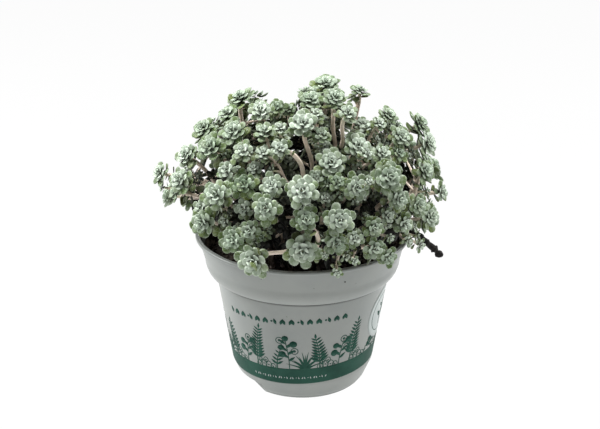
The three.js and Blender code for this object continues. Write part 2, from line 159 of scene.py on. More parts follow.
def makeFloor():
    bm = bmesh.new()
    bmesh.ops.create_grid(bm, x_segments=1, y_segments=1, size=studio["floorSize"] / 2)
    mesh = bpy.data.meshes.new("floor")
    bm.to_mesh(mesh)
    bm.free()
    floor = bpy.data.objects.new("floor", mesh)
    bpy.context.scene.collection.objects.link(floor)
    material, tree = startMaterial("studioFloor")
    sheet = addNode(tree, "ShaderNodeBsdfDiffuse", {"Color": studio["floorColour"]})
    white = addNode(tree, "ShaderNodeEmission", {"Color": (1, 1, 1, 1), "Strength": 1.0})
    seen = addNode(tree, "ShaderNodeLightPath").outputs["Is Camera Ray"]
    share = calculate(tree, "MULTIPLY", seen, studio["floorGlow"])
    place = addNode(tree, "ShaderNodeTexCoord").outputs["Object"]
    away = addNode(tree, "ShaderNodeVectorMath", {0: place}, operation="LENGTH").outputs["Value"]
    # painted light: the floor glows, most strongly near the pot
    strength = remap(tree, away, *studio["tableReach"], *studio["tableLight"])
    table = addNode(tree, "ShaderNodeEmission", {"Color": (1, 1, 1, 1), "Strength": strength})
    lit = addNode(tree, "ShaderNodeAddShader", {0: sheet.outputs[0], 1: table.outputs[0]})
    both = addNode(tree, "ShaderNodeMixShader", {0: share, 1: lit.outputs[0], 2: white.outputs[0]})
    addNode(tree, "ShaderNodeOutputMaterial", {"Surface": both.outputs[0]})
    mesh.materials.append(material)


# Node helpers, and the grain that every finish shares
grain = {
    "patches": {"Detail": 4.0, "Roughness": 0.6},
    "specks": {"Detail": 2.0, "Roughness": 0.7},
    "speckEdge": 12.0,
    "height": (0.6, 0.4),  # shares of the patches and the specks in the bump
}


def setInput(tree, socket, value):
    if isinstance(value, bpy.types.NodeSocket):
        tree.links.new(value, socket)
    else:
        socket.default_value = value


def addNode(tree, kind, inputs=None, **settings):
    made = tree.nodes.new(kind)
    for key, value in settings.items():
        setattr(made, key, value)
    for key, value in (inputs or {}).items():
        setInput(tree, made.inputs[key], value)
    return made


def rgb(red, green, blue):
    # a colour as seen on a screen, 0 to 255, made linear
    def linear(value):
        share = value / 255
        return share / 12.92 if share <= 0.04045 else ((share + 0.055) / 1.055) ** 2.4

    return (linear(red), linear(green), linear(blue), 1)


def mixColours(tree, share, first, second):
    # 0, 6, 7 and 2 are the places of the sockets for colours
    made = addNode(tree, "ShaderNodeMix", data_type="RGBA")
    for index, value in ((0, share), (6, first), (7, second)):
        setInput(tree, made.inputs[index], value)
    return made.outputs[2]


def calculate(tree, operation, first, second=0.0, clamp=False):
    made = addNode(tree, "ShaderNodeMath", {0: first, 1: second}, operation=operation, use_clamp=clamp)
    return made.outputs[0]


def remap(tree, value, low, high, newLow=0.0, newHigh=1.0):
    made = addNode(
        tree,
        "ShaderNodeMapRange",
        {"Value": value, "From Min": low, "From Max": high, "To Min": newLow, "To Max": newHigh},
        interpolation_type="SMOOTHSTEP",
    )
    return made.outputs["Result"]


def makeGrainGroup():
    # patches and specks on Object coordinates
    group = bpy.data.node_groups.new("grain", "ShaderNodeTree")
    for name, start in (("Patch Scale", 300.0), ("Speck Scale", 1500.0), ("Speck Level", 0.6)):
        made = group.interface.new_socket(name=name, in_out="INPUT", socket_type="NodeSocketFloat")
        made.default_value = start
    for name in ("Patches", "Specks", "Height"):
        group.interface.new_socket(name=name, in_out="OUTPUT", socket_type="NodeSocketFloat")
    given = addNode(group, "NodeGroupInput")
    place = addNode(group, "ShaderNodeTexCoord").outputs["Object"]
    patchInputs = {"Vector": place, "Scale": given.outputs["Patch Scale"], **grain["patches"]}
    speckInputs = {"Vector": place, "Scale": given.outputs["Speck Scale"], **grain["specks"]}
    patches = addNode(group, "ShaderNodeTexNoise", patchInputs).outputs["Fac"]
    specks = addNode(group, "ShaderNodeTexNoise", speckInputs).outputs["Fac"]
    cut = calculate(group, "SUBTRACT", specks, given.outputs["Speck Level"])
    mask = calculate(group, "MULTIPLY", cut, grain["speckEdge"], clamp=True)
    patchPart = calculate(group, "MULTIPLY", patches, grain["height"][0])
    speckPart = calculate(group, "MULTIPLY", specks, grain["height"][1])
    height = calculate(group, "ADD", patchPart, speckPart)
    addNode(group, "NodeGroupOutput", {"Patches": patches, "Specks": mask, "Height": height})
    return group


def addGrain(tree, patchScale, speckScale, speckLevel):
    made = addNode(tree, "ShaderNodeGroup", node_tree=grainGroup)
    made.inputs["Patch Scale"].default_value = patchScale
    made.inputs["Speck Scale"].default_value = speckScale
    made.inputs["Speck Level"].default_value = speckLevel
    return made.outputs


def startMaterial(name):
    material = bpy.data.materials.new(name)
    material.use_nodes = True
    material.node_tree.nodes.clear()
    return material, material.node_tree


def endMaterial(tree, colour, roughness, height, look):
    bump = addNode(tree, "ShaderNodeBump", {"Strength": 1.0, "Distance": look["bump"], "Height": height})
    surface = addNode(
        tree,
        "ShaderNodeBsdfPrincipled",
        {
            "Base Color": colour,
            "Roughness": roughness,
            "Normal": bump.outputs[0],
            "Specular IOR Level": look["specular"],
            "Sheen Weight": look.get("sheen", 0.0),
            "Sheen Roughness": 0.4,
        },
    )
    addNode(tree, "ShaderNodeOutputMaterial", {"Surface": surface.outputs[0]})


def addSpeckled(tree, look):
    # two colours in patches, with specks of a third over them
    patches, specks, height = addGrain(tree, *look["grain"])
    colour = mixColours(tree, remap(tree, patches, *look["patches"]), *look["colours"])
    colour = mixColours(tree, calculate(tree, "MULTIPLY", specks, look["speckShare"]), colour, look["speck"])
    return colour, patches, height


def makeSpeckledMaterial(name, look):
    material, tree = startMaterial(name)
    colour, _, height = addSpeckled(tree, look)
    endMaterial(tree, colour, look["roughness"], height, look)
    return material


setStudio()
makeFloor()
grainGroup = makeGrainGroup()
print("studio ready")

# Where the heads stand: the numbers and the rule of the solids
pot = {
    "height": 88.2,
    "rimRadius": 60,
    "baseRadius": 36,
    "footHeight": 12.2,
    "footRadius": 41.1,
    "wall": 1,
    "bodyTop": 65,
    "bodyTopRadius": 49.2,
    "collarBottom": 74.2,
    "collarBottomRadius": 55.2,
    "collarTopRadius": 58.3,
    "lipDepth": 1.8,
    "lipRound": 0.5,
    "baseRound": 1.6,
    "drainHoles": 6,
    "drainHoleRadius": 3,
    "drainCircle": 24,
}
footNotch = {"angles": (-151, 29), "width": 32, "height": 7, "reach": 32, "block": 40}
soil = {"top": 80.7, "gap": 0.3, "holeDepth": 7}
stem = {
    "drawnIn": 0.52,  # a foot's distance from the pot's axis, as a share of its heads' distance
    "furthest": 46,
    "fewest": 6,
    "longer": 1.08,  # a curved stem against a straight one
    "apart": 5.6,
    "upright": 1,
    "forkAt": 0.5,
    "bend": 0.35,
    "thickStem": 4.5,  # heads above this radius have a thick stem
}
dome = {"centre": Vector((0, 0, 101.2)), "radii": Vector((79, 74, 73))}

# Each head is (across, down, width) in pixels of the 600 x 429 photograph, and then how many
# millimetres it stands nearer the viewer than the dome
nearShoots = [
    [(326, 82, 28, 0), (311, 98, 24, -6), (316, 113, 15, 4)],
    [(335, 96, 25, 8), (348, 112, 20, 12)],
    [(361, 89, 19, 0), (363, 123, 17, -22)],
    [(239, 95, 27, 0), (226, 112, 21, 0)],
    [(260, 109, 23, 0), (276, 106, 18, -8), (288, 108, 16, -14)],
    [(202, 127, 24, 0), (208, 146, 28, 4)],
    [(232, 130, 28, 2), (242, 150, 21, 6)],
    [(303, 122, 28, 6)],
    [(264, 130, 21, 0), (280, 127, 15, 4)],
    [(280, 148, 21, 8), (263, 152, 17, -4)],
    [(322, 133, 18, -6), (323, 146, 17, -14)],
    [(184, 154, 24, 0), (158, 172, 21, 0), (161, 187, 10, 0)],
    [(178, 179, 25, 4), (174, 191, 20, -8)],
    [(226, 170, 22, 2), (243, 184, 27, 0)],
    [(215, 193, 29, 8), (200, 208, 20, -6)],
    [(201, 223, 28, 4), (224, 221, 14, -10)],
    [(271, 185, 23, 2), (254, 168, 17, -9)],
    [(265, 208, 28, 4), (243, 209, 19, -6)],
    [(232, 240, 27, 2), (249, 231, 22, 0), (261, 237, 11, -4)],
    [(302, 252, 32, 0), (252, 262, 31, 6)],
    [(302, 190, 31, 6), (317, 176, 20, -6)],
    [(306, 219, 25, 4), (326, 198, 17, -8)],
    [(340, 220, 29, 6), (337, 244, 24, 2)],
    [(355, 238, 19, -2), (337, 273, 11, 8), (325, 256, 9, 2)],
    [(330, 163, 29, -4), (338, 182, 18, 0)],
    [(359, 145, 28, 0), (368, 153, 14, 8), (383, 152, 19, -4)],
    [(358, 187, 25, 2), (369, 181, 11, 8)],
    [(389, 113, 21, 0), (380, 122, 16, 4), (399, 124, 12, -4)],
    [(402, 137, 23, 4), (400, 151, 20, -2)],
    [(422, 122, 28, 0), (430, 145, 27, 4)],
    [(427, 170, 24, 0), (429, 157, 17, -11)],
    [(390, 176, 33, 8)],
    [(400, 199, 24, 4), (389, 216, 16, -4)],
    [(443, 192, 19, 0), (420, 205, 22, 2)],
    [(432, 217, 24, 0), (406, 224, 20, 0), (421, 246, 14, -2), (409, 241, 13, -6)],
    [(375, 228, 21, 2), (391, 238, 10, -2)],
    [(375, 249, 22, 2), (389, 258, 20, 6), (355, 261, 10, 6)],
]
# The far side's heads are spread over the dome by a rule
farSide = {
    "tries": 210,
    "spacing": 16.2,
    "radius": (7, 9.2),
    "depth": (0.86, 1.02),
    "facing": 0.02,  # how far towards the viewer a head may face, from -1 to 1
    "lowest": -0.16,  # share of the dome's height
    "perShoot": 3,
}
# Beside the crown the photograph shows bare background: no far head reaches these circles of its
# pixels, each across, down and radius
openGaps = ((280, 82, 14), (213, 96, 11), (371, 107, 9), (201, 163, 6))
# and nothing that is added between the heads reaches these
smallGaps = (
    (280, 82, 12),
    (213, 96, 9),
    (371, 107, 7),
    (200, 164, 3.5),
    (246, 115, 4),
    (347, 127, 4),
    (196, 196, 3),
    (413, 140, 3),
    (172, 209, 6),
    (186, 209, 5),
)
headLean = {"up": 0.25, "front": 0.5, "stray": 0.35}
headCentreRise = 0.45  # a head's centre over its base, as a share of its radius
# Heads that touch push each other apart, and off the pot
settling = {
    "rounds": 80,
    "room": 0.93,
    "roomInShoot": 0.83,
    "eagerness": 0.4,
    "overRim": 1.5,
    "overSoil": 0.8,
}
oldStem = {
    "foot": (36, -9),
    "over": (54, -17, 93.2),
    # across and down in the photograph's pixels, and depth
    "seen": (
        (417, 234.5, -20),
        (426.5, 242.6, -21),
        (435, 249.6, -21),
        (438.5, 254, -21),
        (442.5, 252.6, -21),
    ),
}
# Stems that show between the heads: which head of which shoot, and the places (across, down) in
# the photograph from the head down, each further behind the head than the one before
bareStems = {
    (9, 0): ((290, 149), (297, 159), (304, 173)),
    (9, 1): ((281, 164), (283, 181)),
    (7, 0): ((304, 139), (308, 152), (313, 164)),
    (1, 0): ((333, 122), (333, 136), (336, 150)),
    (1, 1): ((339, 122), (344, 138)),
    (2, 0): ((359, 103), (356, 117)),
    (3, 0): ((240, 106), (241, 118)),
    (30, 0): ((418, 180), (415, 190), (411, 203)),
    (19, 1): ((264, 252), (283, 253)),
    (21, 0): ((314, 229), (319, 239)),
}
# heads with little of the pale wax, keyed alike
greenHeads = {(13, 1): 0.1, (4, 1): 0.3, (4, 2): 0.25, (24, 1): 0.3, (18, 2): 0.35, (28, 1): 0.3}
# shoot: places, each across and down in the photograph's pixels, depth and radius
backHeads = {
    41: ((294, 148, 46, 8), (285, 136, 50, 7)),
    44: ((344, 150, 44, 7.5), (350, 158, 40, 7)),
    45: (
        (404, 168, 12, 7.5),
        (409, 160, 4, 6),
        (404, 178, 15, 8),
        (411, 172, 20, 8),
        (400, 160, 24, 7.5),
        (418, 158, 22, 7),
    ),
}
bareDepth = {
    "first": 3,  # how far behind its head the first place stands
    "step": 3.5,
    "margin": 1.5,  # pixels kept clear beside the stem
    "behind": 2,
    "rounds": 8,  # of smoothing
}
eye = Vector((0, -view["distance"], view["height"]))


def overRadii(vector, power=1):
    return Vector([vector[k] / dome["radii"][k] ** power for k in range(3)])


def domeNormal(point):
    return overRadii(point - dome["centre"], 2).normalized()


def sightThrough(across, down):
    pitch = math.radians(view["pitch"])
    right = (across - view["middle"][0]) / view["focal"]
    rise = (view["middle"][1] - down) / view["focal"]
    forward = math.cos(pitch) + rise * math.sin(pitch)
    return Vector((right, forward, rise * math.cos(pitch) - math.sin(pitch))).normalized()


def placeOnDome(across, down, nearer):
    ray = sightThrough(across, down)
    e = overRadii(eye - dome["centre"])
    d = overRadii(ray)
    half = e.dot(d) / d.dot(d)
    inside = half * half - (e.dot(e) - 1) / d.dot(d)
    return eye + ray * (-half - math.sqrt(max(inside, 0)) - nearer)


def placeAtDepth(across, down, y):
    ray = sightThrough(across, down)
    return eye + ray * ((y - eye.y) / ray.y)


def pixelsPerMillimetre(point):
    pitch = math.radians(view["pitch"])
    return view["focal"] / ((point.y - eye.y) * math.cos(pitch) - (point.z - eye.z) * math.sin(pitch))


def pixelOf(point):
    pitch = math.radians(view["pitch"])
    seen = point - eye
    depth = seen.y * math.cos(pitch) - seen.z * math.sin(pitch)
    rise = seen.y * math.sin(pitch) + seen.z * math.cos(pitch)
    across = view["middle"][0] + view["focal"] * seen.x / depth
    return across, view["middle"][1] - view["focal"] * rise / depth


def reachesGap(centre, radius, gaps=openGaps):
    across, down = pixelOf(centre)
    reach = radius * pixelsPerMillimetre(centre)
    return any(math.hypot(across - gap[0], down - gap[1]) < gap[2] + reach for gap in gaps)


def nearHeads():
    heads = []
    for index, shoot in enumerate(nearShoots):
        for across, down, width, nearer in shoot:
            centre = placeOnDome(across, down, nearer)
            radius = width / 2 / pixelsPerMillimetre(centre)
            heads.append({"centre": centre, "radius": radius, "shoot": index, "near": True})
    return heads


def spreadOverDome(look, draw):
    # places with their radii, evenly over the dome from its top down, where it faces away
    golden = math.pi * (3 - math.sqrt(5))
    toViewer = Vector((0, eye.y, eye.z - dome["centre"].z)).normalized()
    for i in range(look["tries"]):
        level = 1 - (1 - look["lowest"]) * (i + 0.5) / look["tries"]
        flat = math.sqrt(1 - level * level)
        direction = onCircle(flat, i * golden, level)
        depth = between(*look["depth"], draw())
        centre = dome["centre"] + direction * dome["radii"] * depth
        radius = between(*look["radius"], draw())
        if domeNormal(centre).dot(toViewer) <= look["facing"]:
            yield centre, radius


def farHeads(taken):
    heads = []
    for centre, radius in spreadOverDome(farSide, drawFrom(seeds["farSide"])):
        if reachesGap(centre, radius):
            continue
        if all((h["centre"] - centre).length >= farSide["spacing"] for h in taken + heads):
            heads.append({"centre": centre, "radius": radius, "near": False})
    return heads


def turnOf(head):
    return math.atan2(head["centre"].y, -head["centre"].x)


def gatherFarShoots(heads, shoot):
    free = sorted(heads, key=turnOf)
    while free:
        first = free.pop(0)
        first["shoot"] = shoot
        for _ in range(1, farSide["perShoot"]):
            if free:
                free.sort(key=lambda h: (h["centre"] - first["centre"]).length)
                free.pop(0)["shoot"] = shoot
        free.sort(key=turnOf)
        shoot += 1


def pushApart(heads):
    for i, a in enumerate(heads):
        for b in heads[i + 1:]:
            share = settling["roomInShoot"] if a["shoot"] == b["shoot"] else settling["room"]
            room = (a["radius"] + b["radius"]) * share
            apart = b["centre"] - a["centre"]
            distance = apart.length
            if distance < room:
                apart *= (room - distance) / distance * settling["eagerness"]
                a["centre"] -= apart
                b["centre"] += apart


def pushOffPot(head):
    centre = head["centre"]
    out = math.hypot(centre.x, centre.y)
    fromRim = math.hypot(out - pot["rimRadius"], centre.z - pot["height"])
    room = head["radius"] + settling["overRim"]
    if fromRim < room:
        push = (room - fromRim) / fromRim * settling["eagerness"]
        outward = (out - pot["rimRadius"]) * push
        centre.x += centre.x / out * outward
        centre.y += centre.y / out * outward
        centre.z += (centre.z - pot["height"]) * push
    lowest = soil["top"] + head["radius"] * settling["overSoil"]
    if out < pot["rimRadius"] and centre.z < lowest:
        centre.z = lowest


def placeHeads():
    near = nearHeads()
    far = farHeads(near)
    gatherFarShoots(far, len(nearShoots))
    heads = near + far
    for _ in range(settling["rounds"]):
        pushApart(heads)
        for head in heads:
            pushOffPot(head)
    draw = drawFrom(seeds["axis"])
    for head in heads:
        lean = strayVector(draw) * headLean["stray"]
        lean += Vector((0, -headLean["front"] if head["near"] else 0, headLean["up"]))
        head["axis"] = (domeNormal(head["centre"]) + lean).normalized()
        head["base"] = head["centre"] - head["axis"] * headCentreRise * head["radius"]
        head["phase"] = draw()
    return heads


def footOf(heads):
    mean = sum((head["centre"] for head in heads), Vector()) / len(heads)
    out = math.hypot(mean.x, mean.y)
    reach = min(out * stem["drawnIn"], stem["furthest"])
    return Vector((mean.x / out * reach, mean.y / out * reach, 0))


def spreadFeet(feet):
    for _ in range(settling["rounds"]):
        for i, a in enumerate(feet):
            for b in feet[i + 1:]:
                apart = b - a
                distance = apart.length
                if distance < stem["apart"]:
                    apart *= (stem["apart"] - distance) / distance / 2
                    a -= apart
                    b += apart


def curvePoint(ends, t):
    a, b, c, d = ends
    s = 1 - t
    return a * s ** 3 + b * 3 * s * s * t + c * 3 * s * t * t + d * t ** 3


def pathAlong(start, along, head, spacing):
    # points on the curve that leaves the start along a direction and comes in under the head
    bend = (head["base"] - start).length * stem["bend"]
    ends = (start, start + along * bend, head["base"] - head["axis"] * bend, head["base"])
    length = (head["base"] - start).length * stem["longer"]
    count = max(stem["fewest"], round(length / spacing))
    return [curvePoint(ends, k / count) for k in range(count + 1)]


def pathThrough(guide, spacing):
    # points on a smooth curve through the guide points
    points = []
    for k in range(len(guide) - 1):
        before = guide[max(k - 1, 0)]
        a, b = guide[k], guide[k + 1]
        after = guide[min(k + 2, len(guide) - 1)]
        ends = (a, a + (b - before) / 6, b - (after - a) / 6, b)
        count = max(2, round((b - a).length / spacing))
        points += [curvePoint(ends, step / count) for step in range(count)]
    return points + [guide[-1]]


def smoothPath(path):
    for _ in range(bareDepth["rounds"]):
        inner = [(a + b * 2 + c) / 4 for a, b, c in zip(path, path[1:], path[2:])]
        path = [path[0], *inner, path[-1]]
    return path


def pointOn(path, t):
    place = min(max(t, 0), 1) * (len(path) - 1)
    index = min(int(place), len(path) - 2)
    return path[index].lerp(path[index + 1], place - index)


def tangentOn(path, t):
    index = min(int(t * (len(path) - 1)), len(path) - 2)
    return (path[index + 1] - path[index]).normalized()


def placeBareStem(key, head):
    # the places from the lowest up, for a path that ends at the head
    places = []
    for k, (across, down) in enumerate(bareStems.get(key, ())):
        depth = head["centre"].y + bareDepth["first"] + bareDepth["step"] * k
        places.insert(0, placeAtDepth(across, down, depth))
    return places


heads = placeHeads()
shootCount = max(head["shoot"] for head in heads) + 1
shoots = [[head for head in heads if head["shoot"] == index] for index in range(shootCount)]
feet = [footOf(shoot) for shoot in shoots] + [Vector((*oldStem["foot"], 0))]
spreadFeet(feet)
print("crown placed:", len(heads), "heads on", shootCount, "shoots")

# Leaves: spoon-shaped, fleshy, with a bloom of pale wax
leaf = {
    "neck": 0.34,  # half width at the base, of the widest
    "widest": 0.7,  # where along the leaf
    "blunt": 2.4,
    "above": 0.35,  # shares of the thickness above and below the middle of the leaf
    "below": 0.65,
    "variants": 3,
    "wander": 0.07,
    "tip": (0.6, 1),  # where the lift begins and ends
    "rim": 0.02,
    "onAxis": 0.001,
    "strayBow": 0.6,
    # for each kind: bow of the spoon, raised edges, thickness and tip lift, as shares of the length,
    # and then the points round and along it
    "kinds": {
        "bud": (0.05, 0.06, 0.26, 0.05, 6, 6),
        "middle": (0.06, 0.07, 0.17, 0.03, 7, 7),
        "outer": (0.04, 0.06, 0.13, 0.04, 7, 7),
        "low": (0.0, 0.06, 0.13, -0.02, 7, 6),
        "side": (0.06, 0.06, 0.18, 0.03, 6, 5),
    },
}


def leafHalfWidth(t):
    if t < leaf["widest"]:
        return between(leaf["neck"], 1, smoothStep(0, leaf["widest"], t))
    end = (t - leaf["widest"]) / (1 - leaf["widest"])
    return math.sqrt(max(1 - end ** leaf["blunt"], 0))


def makeLeafShape(kind, draw):
    # base at the origin, tip at y = 1, half width 1 across x, upper face towards z
    bow, raised, thick, lift, around, along = leaf["kinds"][kind]
    bow *= 1 + (draw() - 0.5) * leaf["strayBow"]
    sideways = (draw() - 0.5) * 2 * leaf["wander"]
    tilt = (draw() - 0.5) * 2 * leaf["wander"]
    bm = bmesh.new()
    bmesh.ops.create_uvsphere(bm, u_segments=around, v_segments=along, radius=1)
    uv = bm.loops.layers.uv.new("leaf")
    bm.verts.layers.float_color.new("tone")
    for face in bm.faces:
        for loop in face.loops:
            x, y, z = loop.vert.co
            ring = math.hypot(x, y)
            loop[uv].uv = (0.5 + 0.5 * x / ring if ring > leaf["onAxis"] else 0.5, (z + 1) / 2)
    for vert in bm.verts:
        t = (vert.co.z + 1) / 2
        ring = max(math.hypot(vert.co.x, vert.co.y), leaf["onAxis"])
        across = vert.co.x / ring * leafHalfWidth(t)
        over = -vert.co.y / ring
        body = math.sqrt(max(t * (1 - t), 0)) * 2 * thick * leaf["above" if over > 0 else "below"]
        z = over * body * math.sqrt(max(1 - (vert.co.x / ring) ** 2, 0.0) + leaf["rim"])
        bend = raised * across * across - bow * 4 * t * (1 - t) + lift * smoothStep(*leaf["tip"], t)
        z += bend + tilt * across * t
        vert.co = (across + sideways * t * t * 2, t, z)
    mesh = bpy.data.meshes.new("leafShape_" + kind)
    bm.to_mesh(mesh)
    bm.free()
    return mesh


def addLeaf(bm, kind, base, tip, normal, halfWidth, tone, draw):
    shapes = leafShapes[kind]
    shape = shapes[int(draw() * len(shapes))]
    along = tip - base
    length = along.length
    side = along.cross(normal).normalized()
    normal = side.cross(along).normalized()
    place = Matrix((side * halfWidth, along, normal * length)).transposed().to_4x4()
    place.translation = base
    start = len(bm.verts)
    bm.from_mesh(shape)
    bm.verts.ensure_lookup_table()
    layer = bm.verts.layers.float_color["tone"]
    for vert in bm.verts[start:]:
        vert.co = place @ vert.co
        vert[layer] = tone


# A rosette is a spiral of leaves, from the upright ones in the middle to the flat ones outside
rosette = {
    "turn": math.radians(137.508),
    "counts": ((7.9, 27), (5.5, 23), (4, 17), (0, 13)),  # above this radius, so many leaves
    "smallCount": 12,
    "kinds": ((0.25, "bud"), (0.6, "middle"), (2, "outer")),  # up to this share of the way out
    "strayTurn": 0.3,
    "straySize": 0.18,
    "strayTwist": 0.4,
    # from the middle of the rosette to its outside, and how the change is spread between them
    "reach": (0.03, 1.3),  # of a leaf's tip from the axis, as shares of the radius
    "reachCurve": 0.75,
    "rise": (0.72, 0.04),
    "riseCurve": 1.2,
    "halfWidth": (0.17, 0.37),
    "widthCurve": 0.6,
    "rootOut": 0.08,
    "rootHeight": 0.5,
    "rootDrop": 0.46,
}


def outFrom(axis, angle):
    # the direction square to the axis, turned round it by the angle
    across = axis.orthogonal().normalized()
    return across * math.cos(angle) + axis.cross(across) * math.sin(angle)


def addRosette(bm, base, axis, radius, phase, bloom, draw, fine=True):
    count = rosette["smallCount"]
    if fine:
        count = next(number for least, number in rosette["counts"] if radius > least)
    for i in range(count):
        f = i / (count - 1)
        angle = phase * 2 * math.pi + i * rosette["turn"] + (draw() - 0.5) * rosette["strayTurn"]
        out = outFrom(axis, angle)
        size = 1 + (draw() - 0.5) * rosette["straySize"]
        reach = radius * between(*rosette["reach"], f ** rosette["reachCurve"]) * size
        rise = radius * between(*rosette["rise"], f ** rosette["riseCurve"])
        rise *= 1 + (draw() - 0.5) * rosette["straySize"]
        height = rosette["rootHeight"] - rosette["rootDrop"] * f
        root = base + out * radius * rosette["rootOut"] + axis * radius * height
        tip = base + out * reach + axis * rise
        along = (tip - root).normalized()
        normal = axis * along.dot(out) - out * along.dot(axis)
        normal += along.cross(normal) * (draw() - 0.5) * rosette["strayTwist"]
        kind = next(name for below, name in rosette["kinds"] if f < below) if fine else "side"
        halfWidth = radius * between(*rosette["halfWidth"], f ** rosette["widthCurve"]) * size
        addLeaf(bm, kind, root, tip, normal, halfWidth, (f, bloom, draw(), openness(tip, lowLeaves)), draw)


# Leaves down the stem under a rosette: some close below it, and a few further down
lowLeaves = {
    "near": 5,
    "first": 0.6,  # of the spacing, below the head
    "spacing": 1.6,
    "sparse": 7,
    "sparseAlong": (0.3, 0.85),
    "lowest": 0.2,  # share of the stem's length
    "largestHead": 8,
    "length": (0.75, 1.1),
    "width": 0.37,
    "root": 0.8,
    "nearRise": (0.45, 0.0),
    "sparseRise": (0.3, -0.35),
    "age": 1.15,
    "ageing": 0.2,
    # light: dark and open are shares of the dome's radii, and heights say where low begins and ends
    "dark": 0.68,
    "open": 0.98,
    "darkerLow": 0.2,
    "heights": (100, 150),
    "least": 0.14,
}
# The shade low over the soil ends at these distances from the pot's axis, outside the rim
lowShade = {"out": (61, 70), "opensLater": 0.04}
# Small heads on short stalks beside the stems
sideShoots = {
    "tries": {True: 14, False: 22},  # under a near head, and under a far one
    "radius": {True: (3, 5.6), False: (3.4, 6.4)},
    "along": (0.28, 0.94),
    "stalk": (3.5, 9),
    "forward": 0.6,
    "outward": 0.9,
    "bend": (0.2, 0.3),  # of the stalk, along the stem and towards the head
    "intoHead": 0.2,
    "taper": 0.8,
    "outermost": 0.93,  # share of the dome's radii
    "crowding": 0.72,
}
# Heads inside the crown, with little wax and painted dark by the shade inside it
innerShoots = {
    "count": 9,
    "along": (0.3, 0.95),
    "radius": (5.5, 8),
    "stalk": (4, 14),
    "stray": 1.6,
    "outermost": 0.82,
    "crowding": 0.62,
    "bloom": 0.3,
}
# A second layer of heads under the outer one, on the top and the far side
crownFill = {
    "tries": 1800,
    "radius": (5.5, 7.5),
    "depth": (0.6, 0.93),
    "facing": 0.3,
    "lowest": 0.0,
    "bloom": (0.6, 1.0),
}


def openness(point, limits):
    # painted shade: 0 deep inside the crown, where all is painted dark, and 1 at its surface
    # it is darkest low over the soil, and lighter again where the heads hang out over the rim
    low = 1 - smoothStep(*limits["heights"], point.z)
    low *= 1 - smoothStep(*lowShade["out"], math.hypot(point.x, point.y))
    dark = limits["dark"] + limits["darkerLow"] * low
    bright = limits["open"] + lowShade["opensLater"] * low
    light = smoothStep(dark, bright, overRadii(point - dome["centre"]).length)
    return between(limits["least"] * (1 - low), 1, light)


def addLowLeaves(bm, path, head, length, bloom, bare, draw):
    near, sparse = lowLeaves["near"], lowLeaves["sparse"]
    places = [1 - lowLeaves["spacing"] * (k + lowLeaves["first"]) / length for k in range(near)]
    if not bare:
        places += [between(*lowLeaves["sparseAlong"], (k + draw()) / sparse) for k in range(sparse)]
    angle = draw() * 2 * math.pi
    for index, t in enumerate(places):
        t = max(t, lowLeaves["lowest"])
        axis = tangentOn(path, t)
        angle += rosette["turn"]
        out = outFrom(axis, angle)
        size = min(head["radius"], lowLeaves["largestHead"]) * between(*lowLeaves["length"], draw())
        rise = between(*lowLeaves["nearRise" if index < near else "sparseRise"], draw())
        along = (out + axis * rise).normalized()
        root = pointOn(path, t) + out * lowLeaves["root"]
        normal = axis * along.dot(out) - out * along.dot(axis)
        age = lowLeaves["age"] + lowLeaves["ageing"] * index / len(places)
        tip = root + along * size
        if tip.z < soil["top"] + 1 or reachesGap(tip, 1, smallGaps):
            continue
        if index >= near and hidesBareStem(tip, size / 2):
            continue
        tone = (age, bloom, draw(), openness(tip, lowLeaves))
        addLeaf(bm, "low", root, tip, normal, size * lowLeaves["width"], tone, draw)


def hidesBareStem(centre, radius):
    across, down = pixelOf(centre)
    reach = radius * pixelsPerMillimetre(centre) + bareDepth["margin"]
    for point in barePoints:
        away = math.hypot(across - point["across"], down - point["down"])
        if centre.y < point["y"] + bareDepth["behind"] and away < reach:
            return True
    return False


def isFree(centre, radius, taken):
    if overRadii(centre - dome["centre"]).length > sideShoots["outermost"]:
        return False
    out = math.hypot(centre.x, centre.y)
    if math.hypot(out - pot["rimRadius"], centre.z - pot["height"]) < radius + 1:
        return False
    if centre.z < soil["top"] + radius and out < pot["rimRadius"]:
        return False
    if hidesBareStem(centre, radius) or reachesGap(centre, radius, smallGaps):
        return False
    return all((centre - other).length > (radius + room) * sideShoots["crowding"] for other, room in taken)


def addSideShoots(bmLeaves, bmStems, path, head, bloom, draw):
    for _ in range(sideShoots["tries"][head["near"]]):
        t = between(*sideShoots["along"], draw())
        axis = tangentOn(path, t)
        out = outFrom(axis, draw() * 2 * math.pi)
        radius = between(*sideShoots["radius"][head["near"]], draw())
        reach = between(*sideShoots["stalk"], draw())
        root = pointOn(path, t)
        outward = domeNormal(root + out)
        aim = (out + axis * sideShoots["forward"] + outward * sideShoots["outward"]).normalized()
        base = root + aim * reach
        centre = base + aim * radius * headCentreRise
        if not isFree(centre, radius, taken):
            continue
        taken.append((centre, radius))
        addRosette(bmLeaves, base, aim, radius, draw(), bloom, draw, fine=False)
        onStem, toHead = sideShoots["bend"]
        bend = root + axis * reach * onStem + aim * reach * toHead
        route = [root, bend, base + aim * radius * sideShoots["intoHead"]]
        thick = stalk["smallRadius"]
        small = pathThrough(route, stalk["smallSpacing"])
        addStalk(bmStems, small, thick, thick * sideShoots["taper"], stalk["side"])


def addDeepHead(bmLeaves, bmStems, path, centre, radius, bloom, draw):
    # a head that faces outwards on a stalk from the nearest point of the stem
    aim = domeNormal(centre)
    base = centre - aim * radius * headCentreRise
    root = min(path, key=lambda point: (point - base).length)
    taken.append((centre, radius))
    addRosette(bmLeaves, base, aim, radius, draw(), bloom, draw, fine=False)
    route = pathThrough([root, root.lerp(base, 0.5), base], stalk["smallSpacing"])
    addStalk(bmStems, route, stalk["smallRadius"], stalk["smallRadius"], stalk["inner"])


def addBackHeads(bmLeaves, bmStems, index, path, draw):
    # heads with little wax, painted dark by the shade inside the crown, where the photograph shows no
    # background between the near heads
    for across, down, depth, radius in backHeads.get(index, ()):
        centre = placeAtDepth(across, down, depth)
        addDeepHead(bmLeaves, bmStems, path, centre, radius, innerShoots["bloom"], draw)


